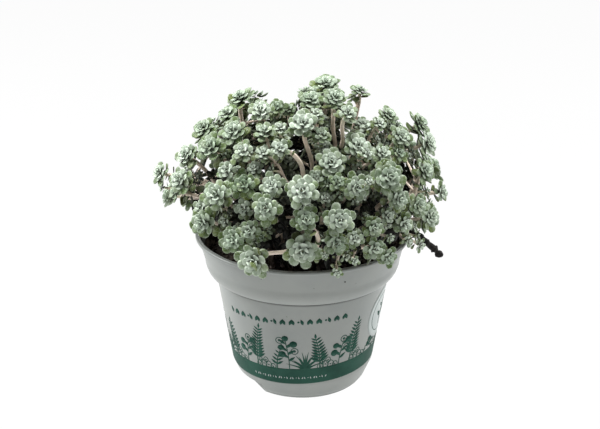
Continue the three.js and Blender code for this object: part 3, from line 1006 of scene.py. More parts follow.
def fillCrown(grown):
    # a second layer of heads, where the far side would be open to the soil from above
    draw = drawFrom(seeds["crown"])
    count = 0
    for centre, radius in spreadOverDome(crownFill, draw):
        if isFree(centre, radius, taken):
            nearest = min(heads, key=lambda head: (head["centre"] - centre).length)
            bloom = between(*crownFill["bloom"], draw())
            leaves, stems, main = grown[nearest["shoot"]]
            addDeepHead(leaves, stems, main, centre, radius, bloom, draw)
            count += 1
    print("heads in the second layer:", count)


def addInnerShoots(bmLeaves, bmStems, path, draw):
    for _ in range(innerShoots["count"]):
        root = pointOn(path, between(*innerShoots["along"], draw()))
        aim = (domeNormal(root) + strayVector(draw) * innerShoots["stray"]).normalized()
        radius = between(*innerShoots["radius"], draw())
        base = root + aim * between(*innerShoots["stalk"], draw())
        centre = base + aim * radius * headCentreRise
        if overRadii(centre - dome["centre"]).length > innerShoots["outermost"]:
            continue
        if centre.z < soil["top"] + radius or hidesBareStem(centre, radius):
            continue
        if reachesGap(centre, radius, smallGaps):
            continue
        if any((centre - other).length < (radius + room) * innerShoots["crowding"] for other, room in taken):
            continue
        taken.append((centre, radius))
        addRosette(bmLeaves, base, aim, radius, draw(), innerShoots["bloom"], draw, fine=False)
        route = [root, root.lerp(base, 0.5), base]
        addStalk(bmStems, route, stalk["smallRadius"], stalk["smallRadius"], stalk["inner"])


# Stems: round and a little uneven, with specks for the scars of fallen leaves
stalk = {
    "sides": 9,
    "spacing": 2.6,
    "smallSpacing": 3,
    "footRadius": 1.3,
    "headRadius": 1.05,
    "smallRadius": 0.7,
    "intoHead": 0.1,  # share of the head's radius
    "forkThinner": 0.9,
    "bareStart": 4,
    "knob": 0.1,
    "knobScale": 0.45,
    # age at the start of a stem, from 0 in the soil to 1 under a head
    "fork": 0.5,
    "inner": 0.6,
    "side": 0.8,
    # light, in the same terms as that of the leaves
    "dark": 0.1,
    "open": 0.62,
    "darkerLow": 0.2,
    "heights": (95, 115),
    "least": 0.2,
    "rooted": 4,  # how deep the foot goes into the soil
}
# Wax on a head's leaves
bloomOf = {"largeHead": (0.45, 1.15), "smallHead": 1.1, "lowLeaves": 0.8}


def ringPlace(centre, along, across, radius):
    across = (across - along * across.dot(along)).normalized()
    turn = Matrix((across, along.cross(across), along)).transposed().to_4x4()
    return Matrix.Translation(centre) @ turn @ Matrix.Scale(radius, 4)


def extrudeRing(bm, edges):
    made = bmesh.ops.extrude_edge_only(bm, edges=edges)["geom"]
    verts = [part for part in made if isinstance(part, bmesh.types.BMVert)]
    ring = set(verts)
    return verts, [part for part in made if isinstance(part, bmesh.types.BMEdge) and set(part.verts) <= ring]


def addTube(bm, points, tangents, radii, values, sides):
    # a closed tube: a circle that is extruded from place to place
    across = tangents[0].orthogonal().normalized()
    places = []
    for point, along, radius in zip(points, tangents, radii):
        places.append(ringPlace(point, along, across, radius))
        across = places[-1].col[0].to_3d().normalized()
    layer = bm.verts.layers.float_color.get("tone") or bm.verts.layers.float_color.new("tone")
    verts = bmesh.ops.create_circle(bm, cap_ends=True, segments=sides, radius=1, matrix=places[0])["verts"]
    for vert in verts:
        vert[layer] = (values[0], 0, 0, 1)
    edges = list({edge for vert in verts for edge in vert.link_edges})
    for before, after, value in zip(places, places[1:], values[1:]):
        verts, edges = extrudeRing(bm, edges)
        bmesh.ops.transform(bm, matrix=after @ before.inverted(), verts=verts)
        light = openness(after.translation, stalk)
        for vert in verts:
            vert[layer] = (value, 0, 0, light)
    bmesh.ops.contextual_create(bm, geom=edges)


def addStalk(bm, path, startRadius, endRadius, age):
    radii, values = [], []
    for step, point in enumerate(path):
        t = step / (len(path) - 1)
        knob = noise.noise(point * stalk["knobScale"]) * stalk["knob"] * 2
        radii.append(between(startRadius, endRadius, t) * (1 + knob))
        values.append(between(age, 1, t))
    tangents = [tangentOn(path, step / (len(path) - 1)) for step in range(len(path))]
    addTube(bm, path, tangents, radii, values, stalk["sides"])


def makeShoot(index, shoot, draw):
    leaves = bmesh.new()
    leaves.loops.layers.uv.new("leaf")
    leaves.verts.layers.float_color.new("tone")
    stems = bmesh.new()
    ground = Vector((feet[index].x, feet[index].y, soil["top"] + stem["upright"]))
    down = ground - up * (stem["upright"] + stalk["rooted"])
    addTube(stems, [down, ground], [up, up], [stalk["footRadius"]] * 2, [0, 0], stalk["sides"])
    main = []
    for order, head in enumerate(shoot):
        start = pointOn(main, stem["forkAt"]) if order else ground
        along = tangentOn(main, stem["forkAt"]) if order else up
        bare = placeBareStem((index, order), head)
        path = pathAlong(start, along, head, stalk["spacing"])
        if bare:
            guide = [start, start + along * stalk["bareStart"], *bare, head["base"]]
            path = smoothPath(pathThrough(guide, stalk["spacing"]))
        main = main or path
        if order == 0:
            addBackHeads(leaves, stems, index, path, draw)
        large = head["radius"] > stem["thickStem"]
        thick = stalk["headRadius" if large else "smallRadius"]
        length = sum((b - a).length for a, b in zip(path, path[1:]))
        into = [*path, head["base"] + head["axis"] * head["radius"] * stalk["intoHead"]]
        startRadius = thick * stalk["forkThinner"] if order else stalk["footRadius"]
        addStalk(stems, into, startRadius, thick, stalk["fork"] if order else 0)
        bloom = between(*bloomOf["largeHead"], draw()) if large else bloomOf["smallHead"]
        bloom = greenHeads.get((index, order), bloom)
        addRosette(leaves, head["base"], head["axis"], head["radius"], head["phase"], bloom, draw)
        addLowLeaves(leaves, path, head, length, bloom * bloomOf["lowLeaves"], bare, draw)
        addSideShoots(leaves, stems, path, head, bloom, draw)
        addInnerShoots(leaves, stems, path, draw)
    return leaves, stems, main


def finishShoot(index, leaves, stems):
    bmesh.ops.recalc_face_normals(stems, faces=stems.faces)
    node = f"shoot_{index + 1:02d}"
    finishPiece(leaves, "leaves_" + node, node, leafMaterial)
    finishPiece(stems, "stems_" + node, node, stemMaterial)


# Finishes. The grain gives the scale of the patches, the scale of the specks, and the level from
# which a speck shows. A range gives where it starts and ends, and then the values there, if they
# aren't 0 and 1
leafPaint = {
    "grain": (330.0, 2400.0, 0.56),
    # green below the wax, by the leaf's age from 0 in the middle of a rosette
    "young": rgb(146, 168, 140),
    "growing": (0.1, 1.0),
    "grown": rgb(92, 114, 62),
    "ageing": (1.0, 1.35),
    "old": rgb(82, 92, 32),
    "yellowing": (0.75, 1.0, 0.0, 0.5),
    "yellower": rgb(124, 138, 68),
    # places across the leaf from its middle line, and up the leaf from its base
    "rimAcross": (0.38, 0.5),
    "rimUp": (0.55, 0.75),
    "tipUp": (0.93, 1.0),
    # painted shade where the neighbouring leaves overlap: in the clefts at the sides and towards the base
    "cleftAcross": (0.2, 0.45),
    "cleftUp": (0.45, 0.7, 1.0, 0.0),
    "cleftShade": (0.0, 1.0, 1.0, 0.35),
    "baseUp": (0.2, 0.72),
    "baseByAge": (0.0, 0.6, 0.6, 0.12),
    "wax": rgb(219, 231, 216),
    "waxByAge": (0.15, 1.2, 0.95, 0.12),
    "waxPatches": (0.3, 0.7, -0.3, 0.18),
    "waxAndHighlightOnRim": 0.45,
    "waxUp": (0.05, 0.5, 0.45, 0.85),
    "speckShare": 0.25,
    "speck": rgb(232, 238, 232),
    # painted shade: the colours that stand in for shade deep inside the crown, and nearer its surface
    "dark": (rgb(8, 9, 3), rgb(30, 34, 8)),  # deep inside the crown, and nearer its surface
    "deep": (0.0, 0.2),
    "roughness": 0.64,
    "specular": 0.28,
    "sheen": 0.05,
    "bump": 0.00012,
}
stemPaint = {
    "grain": (260.0, 1300.0, 0.58),
    "foot": rgb(70, 56, 46),
    "baring": (0.02, 0.4),
    "bare": rgb(230, 214, 196),
    "greening": (0.85, 1.0),
    "underHead": rgb(168, 172, 134),
    "patch": rgb(228, 216, 208),
    "patches": (0.45, 0.7, 0.0, 0.45),
    "speckShare": 0.4,
    "speck": rgb(126, 104, 84),
    # painted shade inside the crown
    "dark": rgb(26, 20, 15),
    "roughness": 0.6,
    "specular": 0.35,
    "bump": 0.0003,
}


def makeLeafMaterial():
    material, tree = startMaterial("leafWax")

    def ranged(value, name):
        return remap(tree, value, *leafPaint[name])

    tone = addNode(tree, "ShaderNodeAttribute", attribute_name="tone")
    parts = addNode(tree, "ShaderNodeSeparateColor", {"Color": tone.outputs["Color"]})
    age, bloom, chance = parts.outputs
    # the alpha of the tone carries the painted shade of the crown: 0 deep inside, 1 at its surface
    inOpen = tone.outputs["Alpha"]
    uv = addNode(tree, "ShaderNodeUVMap", uv_map="leaf")
    place = addNode(tree, "ShaderNodeSeparateXYZ", {"Vector": uv.outputs[0]})
    upLeaf = place.outputs["Y"]
    across = calculate(tree, "ABSOLUTE", calculate(tree, "SUBTRACT", place.outputs["X"], 0.5))
    # the rim and the tip: paler with wax and with a painted highlight
    rim = calculate(tree, "MULTIPLY", ranged(across, "rimAcross"), ranged(upLeaf, "rimUp"))
    rim = calculate(tree, "MAXIMUM", rim, ranged(upLeaf, "tipUp"))
    # painted shade in the clefts beside the leaves that lie over this one
    cleftShadeMask = calculate(tree, "MULTIPLY", ranged(across, "cleftAcross"), ranged(upLeaf, "cleftUp"))
    patches, specks, height = addGrain(tree, *leafPaint["grain"])
    # green below the wax: greyer in young leaves, olive in old ones low on the stem
    green = mixColours(tree, ranged(age, "growing"), leafPaint["young"], leafPaint["grown"])
    green = mixColours(tree, ranged(age, "ageing"), green, leafPaint["old"])
    green = mixColours(tree, ranged(chance, "yellowing"), green, leafPaint["yellower"])
    # wax: thick in the middle of a rosette and along the rim, rubbed off in patches; along the rim the pale
    # is partly wax and partly a painted highlight
    wax = calculate(tree, "MULTIPLY", bloom, ranged(age, "waxByAge"))
    wax = calculate(tree, "ADD", wax, ranged(patches, "waxPatches"))
    wax = calculate(tree, "ADD", wax, calculate(tree, "MULTIPLY", rim, leafPaint["waxAndHighlightOnRim"]), clamp=True)
    wax = calculate(tree, "MULTIPLY", wax, ranged(upLeaf, "waxUp"))
    colour = mixColours(tree, wax, green, leafPaint["wax"])
    specks = calculate(tree, "MULTIPLY", specks, leafPaint["speckShare"])
    colour = mixColours(tree, specks, colour, leafPaint["speck"])
    # painted shade: darker towards the base of each leaf and in the clefts beside the leaves over it, and in
    # all leaves inside the crown
    base = calculate(tree, "ADD", ranged(upLeaf, "baseUp"), ranged(age, "baseByAge"), clamp=True)
    base = calculate(tree, "MULTIPLY", base, ranged(cleftShadeMask, "cleftShade"))
    shade = calculate(tree, "MULTIPLY", base, inOpen)
    dark = mixColours(tree, ranged(inOpen, "deep"), *leafPaint["dark"])
    colour = mixColours(tree, shade, dark, colour)
    endMaterial(tree, colour, leafPaint["roughness"], height, leafPaint)
    return material


def makeStemMaterial():
    material, tree = startMaterial("stemSkin")
    tone = addNode(tree, "ShaderNodeAttribute", attribute_name="tone")
    share = addNode(tree, "ShaderNodeSeparateColor", {"Color": tone.outputs["Color"]}).outputs[0]
    inOpen = tone.outputs["Alpha"]
    patches, specks, height = addGrain(tree, *stemPaint["grain"])
    bare = remap(tree, share, *stemPaint["baring"])
    colour = mixColours(tree, bare, stemPaint["foot"], stemPaint["bare"])
    colour = mixColours(tree, remap(tree, share, *stemPaint["greening"]), colour, stemPaint["underHead"])
    colour = mixColours(tree, remap(tree, patches, *stemPaint["patches"]), colour, stemPaint["patch"])
    specks = calculate(tree, "MULTIPLY", specks, stemPaint["speckShare"])
    colour = mixColours(tree, specks, colour, stemPaint["speck"])
    # painted shade: stems inside the crown turn towards the dark colour
    colour = mixColours(tree, inOpen, stemPaint["dark"], colour)
    endMaterial(tree, colour, stemPaint["roughness"], height, stemPaint)
    return material


def placeBarePoints():
    # points along the bare stems, in front of which nothing else may stand
    points = []
    for (index, order), places in bareStems.items():
        depth = shoots[index][order]["centre"].y + bareDepth["first"]
        for k, (first, second) in enumerate(zip(places, places[1:])):
            for share in (0, 0.25, 0.5, 0.75, 1):
                across = between(first[0], second[0], share)
                down = between(first[1], second[1], share)
                y = depth + bareDepth["step"] * (k + share)
                points.append({"across": across, "down": down, "y": y})
    return points


leafDraw = drawFrom(seeds["leaf"])
leafShapes = {
    kind: [makeLeafShape(kind, leafDraw) for _ in range(leaf["variants"])] for kind in leaf["kinds"]
}
leafMaterial = makeLeafMaterial()
stemMaterial = makeStemMaterial()
taken = [(head["centre"], head["radius"]) for head in heads]
barePoints = placeBarePoints()
grown = [
    makeShoot(index, shoot, drawFrom(seeds["shoot"] + index)) for index, shoot in enumerate(shoots)
]
fillCrown(grown)
for index, (leaves, stems, _) in enumerate(grown):
    finishShoot(index, leaves, stems)
print("shoots made")


# The pot: a thin wall turned about the Z axis, with a rolled lip and pressed-in foot notches
potLook = {
    "steps": 240,
    "dent": 0.32,
    "dentScale": 0.045,
    "dentFull": 80,  # from this height up
    "groove": (0.45, 0.7),  # depth and height of the groove under the shoulder
    "grooveMiddle": 0.3,
    "grooveEnds": (0.15, 0.1),
    "lip": (1.4, 80),  # times its round in the solids, and how far it curls under
    "floor": (3, 2.4),  # where its round begins, and where it ends on the wall
    # the lip inside: across from the wall, and up from the rim
    "innerLip": ((0, -0.8), (0.2, -0.3), (0.7, 0.2), (0.7, 2)),
    "drainPin": (32, 4),  # steps, and how many walls deep
    "sharpFrom": 32,
    "sliver": 0.004,
    "grain": (26.0, 900.0, 0.72),
    "patches": (0.35, 0.65),
    "colours": (rgb(128, 133, 130), rgb(138, 142, 138)),
    "speckShare": 0.6,
    "speck": rgb(84, 90, 90),
    # painted shade in the groove under the shoulder
    "grooveShade": rgb(56, 60, 58),
    "grooveShadeRange": (0.0003, 0.0016, 0.8, 0.0),  # in metres above and below the groove
    "roughness": (0.3, 0.7, 0.36, 0.5),  # by the patches
    "specular": 0.5,
    "bump": 0.00005,
}


# Into how many steps each part of the profile is cut
potSteps = {
    "base": 8,
    "corner": 5,
    "foot": 10,
    "body": 24,
    "shoulder": 10,
    "collar": 10,
    "lip": 4,
    "inside": 10,
    "innerCollar": 6,
}


def arc(centre, radii, start, end, count):
    # points (r, z) on an arc between two angles in degrees
    points = []
    for k in range(count + 1):
        angle = math.radians(between(start, end, k / count))
        points.append((centre[0] + radii[0] * math.cos(angle), centre[1] + radii[1] * math.sin(angle)))
    return points


def line(start, end, count):
    # the points between the two ends, without the ends
    shares = [k / count for k in range(1, count)]
    return [(between(start[0], end[0], share), between(start[1], end[1], share)) for share in shares]


def bodyRadius(z):
    if z < pot["footHeight"]:
        return between(pot["baseRadius"], pot["footRadius"], z / pot["footHeight"])
    share = (z - pot["footHeight"]) / (pot["bodyTop"] - pot["footHeight"])
    return between(pot["footRadius"], pot["bodyTopRadius"], share)


def outerProfile():
    corner = (pot["baseRadius"] - pot["baseRound"], pot["baseRound"])
    outside = [(0, 0)] + line((0, 0), (corner[0], 0), potSteps["base"])
    outside += arc(corner, (pot["baseRound"], pot["baseRound"]), -90, 0, potSteps["corner"])
    foot = (pot["footRadius"], pot["footHeight"])
    outside += line((bodyRadius(pot["baseRound"]), pot["baseRound"]), foot, potSteps["foot"]) + [foot]
    grooveDepth, grooveHeight = potLook["groove"]
    grooveLow = pot["bodyTop"] - grooveHeight
    grooveStart = (bodyRadius(grooveLow), grooveLow)
    outside += line(foot, grooveStart, potSteps["body"]) + [grooveStart]
    grooveRadius = pot["bodyTopRadius"] - grooveDepth
    low, high = potLook["grooveEnds"]
    outside += [(grooveRadius, grooveLow + low), (grooveRadius, pot["bodyTop"] - high)]
    shoulder = (pot["collarBottomRadius"] - pot["bodyTopRadius"], pot["collarBottom"] - pot["bodyTop"])
    middle = (pot["bodyTopRadius"], pot["collarBottom"])
    outside += arc(middle, shoulder, -90, 0, potSteps["shoulder"])
    lipZ = pot["height"] - pot["lipDepth"]
    underLip = (pot["collarTopRadius"], lipZ)
    collarStart = (pot["collarBottomRadius"], pot["collarBottom"])
    outside += line(collarStart, underLip, potSteps["collar"]) + [underLip]
    rounder, curl = potLook["lip"]
    lipRound = pot["lipRound"] * rounder
    edge = pot["rimRadius"] - lipRound
    outside += arc((edge, lipZ + lipRound), (lipRound, lipRound), -curl, 0, potSteps["lip"])
    outside += arc((edge, pot["height"] - lipRound), (lipRound, lipRound), 0, 90, potSteps["lip"])
    return outside + [(0, pot["height"])]


def innerProfile():
    wall = pot["wall"]
    inner = pot["collarTopRadius"] - wall
    flatTo, wallFrom = potLook["floor"]
    inside = [(0, wall), (pot["baseRadius"] * 0.5, wall), (pot["baseRadius"] - flatTo, wall)]
    inside += [(pot["baseRadius"] - wall, wallFrom), (pot["footRadius"] - wall, pot["footHeight"])]
    inside += line(inside[-1], (pot["bodyTopRadius"] - wall, pot["bodyTop"]), potSteps["inside"])
    inside.append((pot["bodyTopRadius"] - wall, pot["bodyTop"] + wall))
    inside.append((pot["collarBottomRadius"] - wall, pot["collarBottom"]))
    lip = [(inner + across, pot["height"] + rise) for across, rise in potLook["innerLip"]]
    inside += line(inside[-1], lip[0], potSteps["innerCollar"]) + lip
    return inside + [(0, lip[-1][1])]


def collarRadius(z):
    share = (z - pot["collarBottom"]) / (pot["height"] - pot["collarBottom"])
    return between(pot["collarBottomRadius"], pot["collarTopRadius"], share)


def turnedShape(profile, closed=False):
    bm = bmesh.new()
    verts = [bm.verts.new((r, 0, z)) for r, z in profile]
    after = verts[1:] + verts[:1] if closed else verts[1:]
    edges = [bm.edges.new(pair) for pair in zip(verts, after)]
    bmesh.ops.spin(
        bm,
        geom=verts + edges,
        cent=(0, 0, 0),
        axis=(0, 0, 1),
        angle=2 * math.pi,
        steps=potLook["steps"],
        use_merge=True,
    )
    bmesh.ops.remove_doubles(bm, verts=bm.verts, dist=0.001)
    bmesh.ops.recalc_face_normals(bm, faces=bm.faces)
    return bm


def notchBlocks(grow):
    # the foot of the wall is pressed in at two places
    bm = bmesh.new()
    size = (footNotch["block"], footNotch["width"] + grow * 2, (footNotch["height"] + grow) * 2)
    for angle in footNotch["angles"]:
        place = Matrix.Rotation(math.radians(angle), 4, "Z")
        place = place @ Matrix.Translation((footNotch["reach"] - grow + footNotch["block"] / 2, 0, 0))
        bmesh.ops.create_cube(bm, size=1, matrix=place @ Matrix.Diagonal((*size, 1)))
    return bm


def drainPins():
    bm = bmesh.new()
    steps, walls = potLook["drainPin"]
    for k in range(pot["drainHoles"]):
        place = Matrix.Translation(onCircle(pot["drainCircle"], 2 * math.pi * k / pot["drainHoles"]))
        bmesh.ops.create_cone(
            bm,
            cap_ends=True,
            segments=steps,
            radius1=pot["drainHoleRadius"],
            radius2=pot["drainHoleRadius"],
            depth=pot["wall"] * walls,
            matrix=place,
        )
    return bm


def workObject(bm, name):
    mesh = bpy.data.meshes.new(name)
    bm.to_mesh(mesh)
    bm.free()
    made = bpy.data.objects.new(name, mesh)
    bpy.context.scene.collection.objects.link(made)
    return made


def cutAway(body, tool):
    cut = body.modifiers.new("cut", "BOOLEAN")
    cut.object = tool
    cut.operation = "DIFFERENCE"
    cut.solver = "EXACT"
    bpy.context.view_layer.update()
    body.data = bpy.data.meshes.new_from_object(body.evaluated_get(bpy.context.evaluated_depsgraph_get()))
    body.modifiers.clear()
    bpy.data.objects.remove(tool)


def makePot():
    body = workObject(turnedShape(outerProfile()), "body")
    cutAway(body, workObject(notchBlocks(0), "notches"))
    hollow = workObject(turnedShape(innerProfile()), "hollow")
    cutAway(hollow, workObject(notchBlocks(pot["wall"]), "notches"))
    cutAway(body, hollow)
    cutAway(body, workObject(drainPins(), "pins"))
    bm = bmesh.new()
    bm.from_mesh(body.data)
    bpy.data.objects.remove(body)
    # slivers that the cuts leave
    bmesh.ops.triangulate(bm, faces=bm.faces)
    bmesh.ops.remove_doubles(bm, verts=bm.verts, dist=potLook["sliver"])
    bmesh.ops.dissolve_degenerate(bm, edges=bm.edges, dist=potLook["sliver"])
    for vert in bm.verts:
        out = math.hypot(vert.co.x, vert.co.y)
        if vert.co.z > pot["collarBottom"] and out > 1:
            # thin plastic is never quite round
            dent = noise.noise(vert.co * potLook["dentScale"]) * potLook["dent"]
            dent *= smoothStep(pot["collarBottom"], potLook["dentFull"], vert.co.z)
            vert.co.x += vert.co.x / out * dent
            vert.co.y += vert.co.y / out * dent
    piece = finishPiece(bm, "potShell", "pot", potMaterial)
    piece.data.set_sharp_from_angle(angle=math.radians(potLook["sharpFrom"]))


def makePotMaterial():
    material, tree = startMaterial("greyPlastic")
    colour, patches, height = addSpeckled(tree, potLook)
    # painted shade in the groove under the shoulder
    place = addNode(tree, "ShaderNodeTexCoord").outputs["Object"]
    level = addNode(tree, "ShaderNodeSeparateXYZ", {"Vector": place}).outputs["Z"]
    groove = (pot["bodyTop"] - potLook["grooveMiddle"]) * mm
    fromGroove = calculate(tree, "ABSOLUTE", calculate(tree, "SUBTRACT", level, groove))
    colour = mixColours(tree, remap(tree, fromGroove, *potLook["grooveShadeRange"]), colour, potLook["grooveShade"])
    roughness = remap(tree, patches, *potLook["roughness"])
    endMaterial(tree, colour, roughness, height, potLook)
    return material


potMaterial = makePotMaterial()
makePot()
print("pot made")


# Print: a border of fronds, berries and grasses over a plain band, and a row of small marks.
# It is drawn flat, across and up in millimetres, and then wrapped on the wall
printLook = {
    "radius": 45,  # of the wall where the drawing keeps its width
    "lift": 0.06,
    "layer": 0.008,
    "onTop": 0.03,
    "thick": 0.1,
    "band": (12.7, 22.9),
    "bandRows": 20,
    "bandLower": 0.02,  # than the drawing
    "sunk": 0.05,  # into the wall
    "tilt": 1.9,  # the drawing stands this much higher on the right than in the middle
    "units": 5,
    "unit": 56.55,  # the units go once round the pot
    "start": -84,
    "layers": 4,
    "rooted": 0.4,  # how deep the plants stand in the band
    "clear": (38, 76),  # only low plants grow here, below the badge
    "clearHeight": 6,
}
# Rows of leaflets that lean to and fro, where the last of each group is a dot
markRow = {
    "height": 52,
    "ends": (-42, 25),
    "apart": 2.35,
    "group": 6,
    "lean": 0.32,
    "leaflet": (3.8, 1.7),
    "drop": 0,
    "dot": 0.6,
    "dotRise": 1.8,
}
paleRow = {
    "height": 16.8,
    "ends": (-30, 15),
    "apart": 1.75,
    "group": 4,
    "lean": 0.32,
    "leaflet": (1.6, 0.6),
    "drop": 0.8,
    "dot": 0.28,
    "dotRise": 0,
}
# place along the unit, kind, height and lean of each plant
plants = (
    (0, "frond", 25, 3),
    (5.5, "clump", 0, 0),
    (12.5, "frond", 14, 3),
    (20, "sprig", 19, -2),
    (29, "tuft", 12, 0),
    (37.5, "frond", 20, -3),
    (42, "clump", 0, 0),
    (49, "sprig", 15, 2),
)
frond = {
    "stem": (0.42, 0.16),  # half width at the foot and at the tip
    "along": (0.22, 0.94),
    "apart": 2.6,
    "leaflet": (7.2, 3),  # length of the lowest and the highest
    "fullHeight": 20,
    "slim": 0.33,
    "spread": 0.95,
    "leafletLean": 0.03,
    "tip": (3.2, 1.3),
    "tipLean": 0.04,
}
sprig = {
    "stem": 0.24,
    "along": (0.4, 1),
    "apart": 4.2,
    "reach": 3.6,
    "rise": 2.4,
    "top": 1.5,
    "sag": -0.25,
    "twig": 0.17,
    "berry": 2.1,
    "berryLess": 0.15,
    "ring": 0.45,
    "core": 0.4,
    "leaflet": (4.6, 1.7),
    "leafletDrop": 2,
    "spread": 0.9,
}
tuft = {
    "blades": 13,
    "foot": 2,
    "spread": 0.75,
    "shorter": 0.6,
    "shorterCurve": 1.5,
    "heights": (0.8, 1),  # of one blade and the next
    "blade": (0.75, 0.06),
    "bladeCurve": 1.3,
}
# across, up and size of each pebble
clump = {
    "pebbles": (
        (-4.2, 1.1, 2.3),
        (-1.3, 2.1, 2.4),
        (1.8, 1.6, 2.5),
        (4.6, 0.9, 2.0),
        (0.2, 4.7, 1.8),
        (-3.1, 4.1, 1.5),
    ),
    "narrow": 0.8,
    "line": 0.42,
    "dot": 0.45,
    "steps": 14,
}
leafletShape = {"steps": 6, "swell": 0.8, "narrowest": 0.06}
discShape = {"steps": 10, "flattest": 0.01}
badge = {
    "across": 56.5,
    "height": 43,
    "radius": 15.2,
    "steps": 96,
    "lift": 0.14,
    "ring": (11.4, 0.44),
    "ringSteps": 64,
    "rings": 10,
}
sprout = {
    "foot": (-1, -8),
    "size": (14, 2.5),  # height and lean
    "stem": (0.5, 0.25),
    # point of the stalk, side and length of each leaflet
    "leaflets": ((4, -1, 6.5), (5, 1, 6.0), (8, -1, 4.6), (9, 1, 4.0)),
    "spread": 0.85,
    "slim": 0.42,
    "lift": 0.01,
}
inkPaint = {
    "grain": (60.0, 1400.0, 0.66),
    "patches": (0.35, 0.65),
    "colours": (rgb(18, 62, 50), rgb(30, 74, 61)),
    "speckShare": 0.25,
    "speck": rgb(96, 120, 110),
    "roughness": 0.55,
    "specular": 0.15,
    "bump": 0.00004,
}
palePaint = {
    "grain": (60.0, 1400.0, 0.68),
    "patches": (0.35, 0.65),
    "colours": (rgb(158, 167, 165), rgb(170, 178, 176)),
    "speckShare": 0.3,
    "speck": rgb(132, 140, 138),
    "roughness": 0.42,
    "specular": 0.5,
    "bump": 0.00004,
}


def wrapOnWall(bm):
    for vert in bm.verts:
        across, height, lift = vert.co
        angle = across / printLook["radius"] - math.pi / 2
        height += printLook["tilt"] * math.cos(angle)
        vert.co = onCircle(bodyRadius(height) + lift, angle, height)


def addStrip(bm, points, halfWidth, lift):
    # a flat strip along the points, as wide as halfWidth says for each share of its length
    steps = len(points) - 1
    for vert in bmesh.ops.create_grid(bm, x_segments=steps, y_segments=1, size=1)["verts"]:
        t = (vert.co.x + 1) / 2
        index = round(t * steps)
        along = (points[min(index + 1, steps)] - points[max(index - 1, 0)]).normalized()
        place = points[index] + Vector((-along.y, along.x)) * vert.co.y * halfWidth(t)
        vert.co = (place.x, place.y, lift)


def addLeaflet(bm, root, angle, length, width, lift):
    turn = Vector((math.sin(angle), math.cos(angle)))
    steps = leafletShape["steps"]
    points = [root + turn * length * k / steps for k in range(steps + 1)]

    def halfWidth(t):
        bulge = math.sin(math.pi * t ** leafletShape["swell"])
        return max(bulge, leafletShape["narrowest"]) * width / 2

    addStrip(bm, points, halfWidth, lift)


def addDisc(bm, centre, radius, lift):
    steps = discShape["steps"]
    points = [centre + Vector((0, radius)) * (2 * k / steps - 1) for k in range(steps + 1)]

    def halfWidth(t):
        return math.sqrt(max(1 - (2 * t - 1) ** 2, discShape["flattest"])) * radius

    addStrip(bm, points, halfWidth, lift)


def addRing(bm, centre, radii, width, lift, steps=24):
    points = []
    for k in range(steps + 1):
        turn = 2 * math.pi * k / steps
        points.append(centre + Vector((math.cos(turn) * radii[0], math.sin(turn) * radii[1])))
    points[-1] = points[0]
    addStrip(bm, points, lambda t: width / 2, lift)


def stalkLine(root, height, lean, steps=10):
    return [root + Vector((lean * (k / steps) ** 2, height * k / steps)) for k in range(steps + 1)]


def addFrond(bm, root, height, lean, lift):
    points = stalkLine(root, height, lean)
    addStrip(bm, points, lambda t: between(*frond["stem"], t), lift)
    pairs = max(3, round(height / frond["apart"]))
    for k in range(pairs):
        t = between(*frond["along"], k / (pairs - 1))
        place = points[0].lerp(points[-1], t)
        place.x = root.x + lean * t * t
        size = between(*frond["leaflet"], t) * min(height / frond["fullHeight"], 1)
        for side in (-1, 1):
            angle = side * frond["spread"] + lean * frond["leafletLean"]
            addLeaflet(bm, place, angle, size, size * frond["slim"], lift)
    addLeaflet(bm, points[-1], lean * frond["tipLean"], *frond["tip"], lift)


def addSprig(bm, root, height, lean, lift):
    points = stalkLine(root, height, lean)
    addStrip(bm, points, lambda t: sprig["stem"], lift)
    twigs = max(2, round(height / sprig["apart"]))
    for k in range(twigs + 1):
        t = between(*sprig["along"], k / twigs)
        start = Vector((root.x + lean * t * t, root.y + height * t))
        side = 1 if k % 2 else -1
        end = start + Vector((side * sprig["reach"], sprig["rise"]) if k < twigs else (0, sprig["top"]))
        middle = (start + end) / 2 + Vector((0, sprig["sag"]))
        addStrip(bm, [start, middle, end], lambda t: sprig["twig"], lift)
        radius = sprig["berry"] - sprig["berryLess"] * (k % 3)
        if k % 3 == 1:
            addRing(bm, end, (radius, radius), sprig["ring"], lift)
            addDisc(bm, end, radius * sprig["core"], lift)
        else:
            addDisc(bm, end, radius, lift)
        foot = start - Vector((0, sprig["leafletDrop"]))
        addLeaflet(bm, foot, -side * sprig["spread"], *sprig["leaflet"], lift)


def addTuft(bm, root, height, lift):
    for k in range(tuft["blades"]):
        lean = (k / (tuft["blades"] - 1) - 0.5) * 2
        tall = height * (1 - tuft["shorter"] * abs(lean) ** tuft["shorterCurve"]) * tuft["heights"][k % 2]
        foot = root + Vector((lean * tuft["foot"], 0))
        points = stalkLine(foot, tall, lean * height * tuft["spread"])
        addStrip(bm, points, lambda t: between(*tuft["blade"], t ** tuft["bladeCurve"]), lift)


def addClump(bm, root, lift):
    for across, rise, width in clump["pebbles"]:
        middle = root + Vector((across, rise))
        addRing(bm, middle, (width * clump["narrow"], width), clump["line"], lift, clump["steps"])
        addDisc(bm, middle, clump["dot"], lift)


def plantBorder(bm):
    bottom = printLook["band"][1] - printLook["rooted"]
    for unit in range(printLook["units"]):
        for k, (place, kind, height, lean) in enumerate(plants):
            across = printLook["start"] + unit * printLook["unit"] + place
            lift = printLook["lift"] + printLook["layer"] * (k % printLook["layers"])
            root = Vector((across, bottom))
            if printLook["clear"][0] < across < printLook["clear"][1]:
                height = min(height, printLook["clearHeight"])
            if kind == "frond":
                addFrond(bm, root, height, lean, lift)
            elif kind == "sprig":
                addSprig(bm, root, height, lean, lift)
            elif kind == "tuft":
                addTuft(bm, root, height, lift)
            else:
                addClump(bm, root, lift)


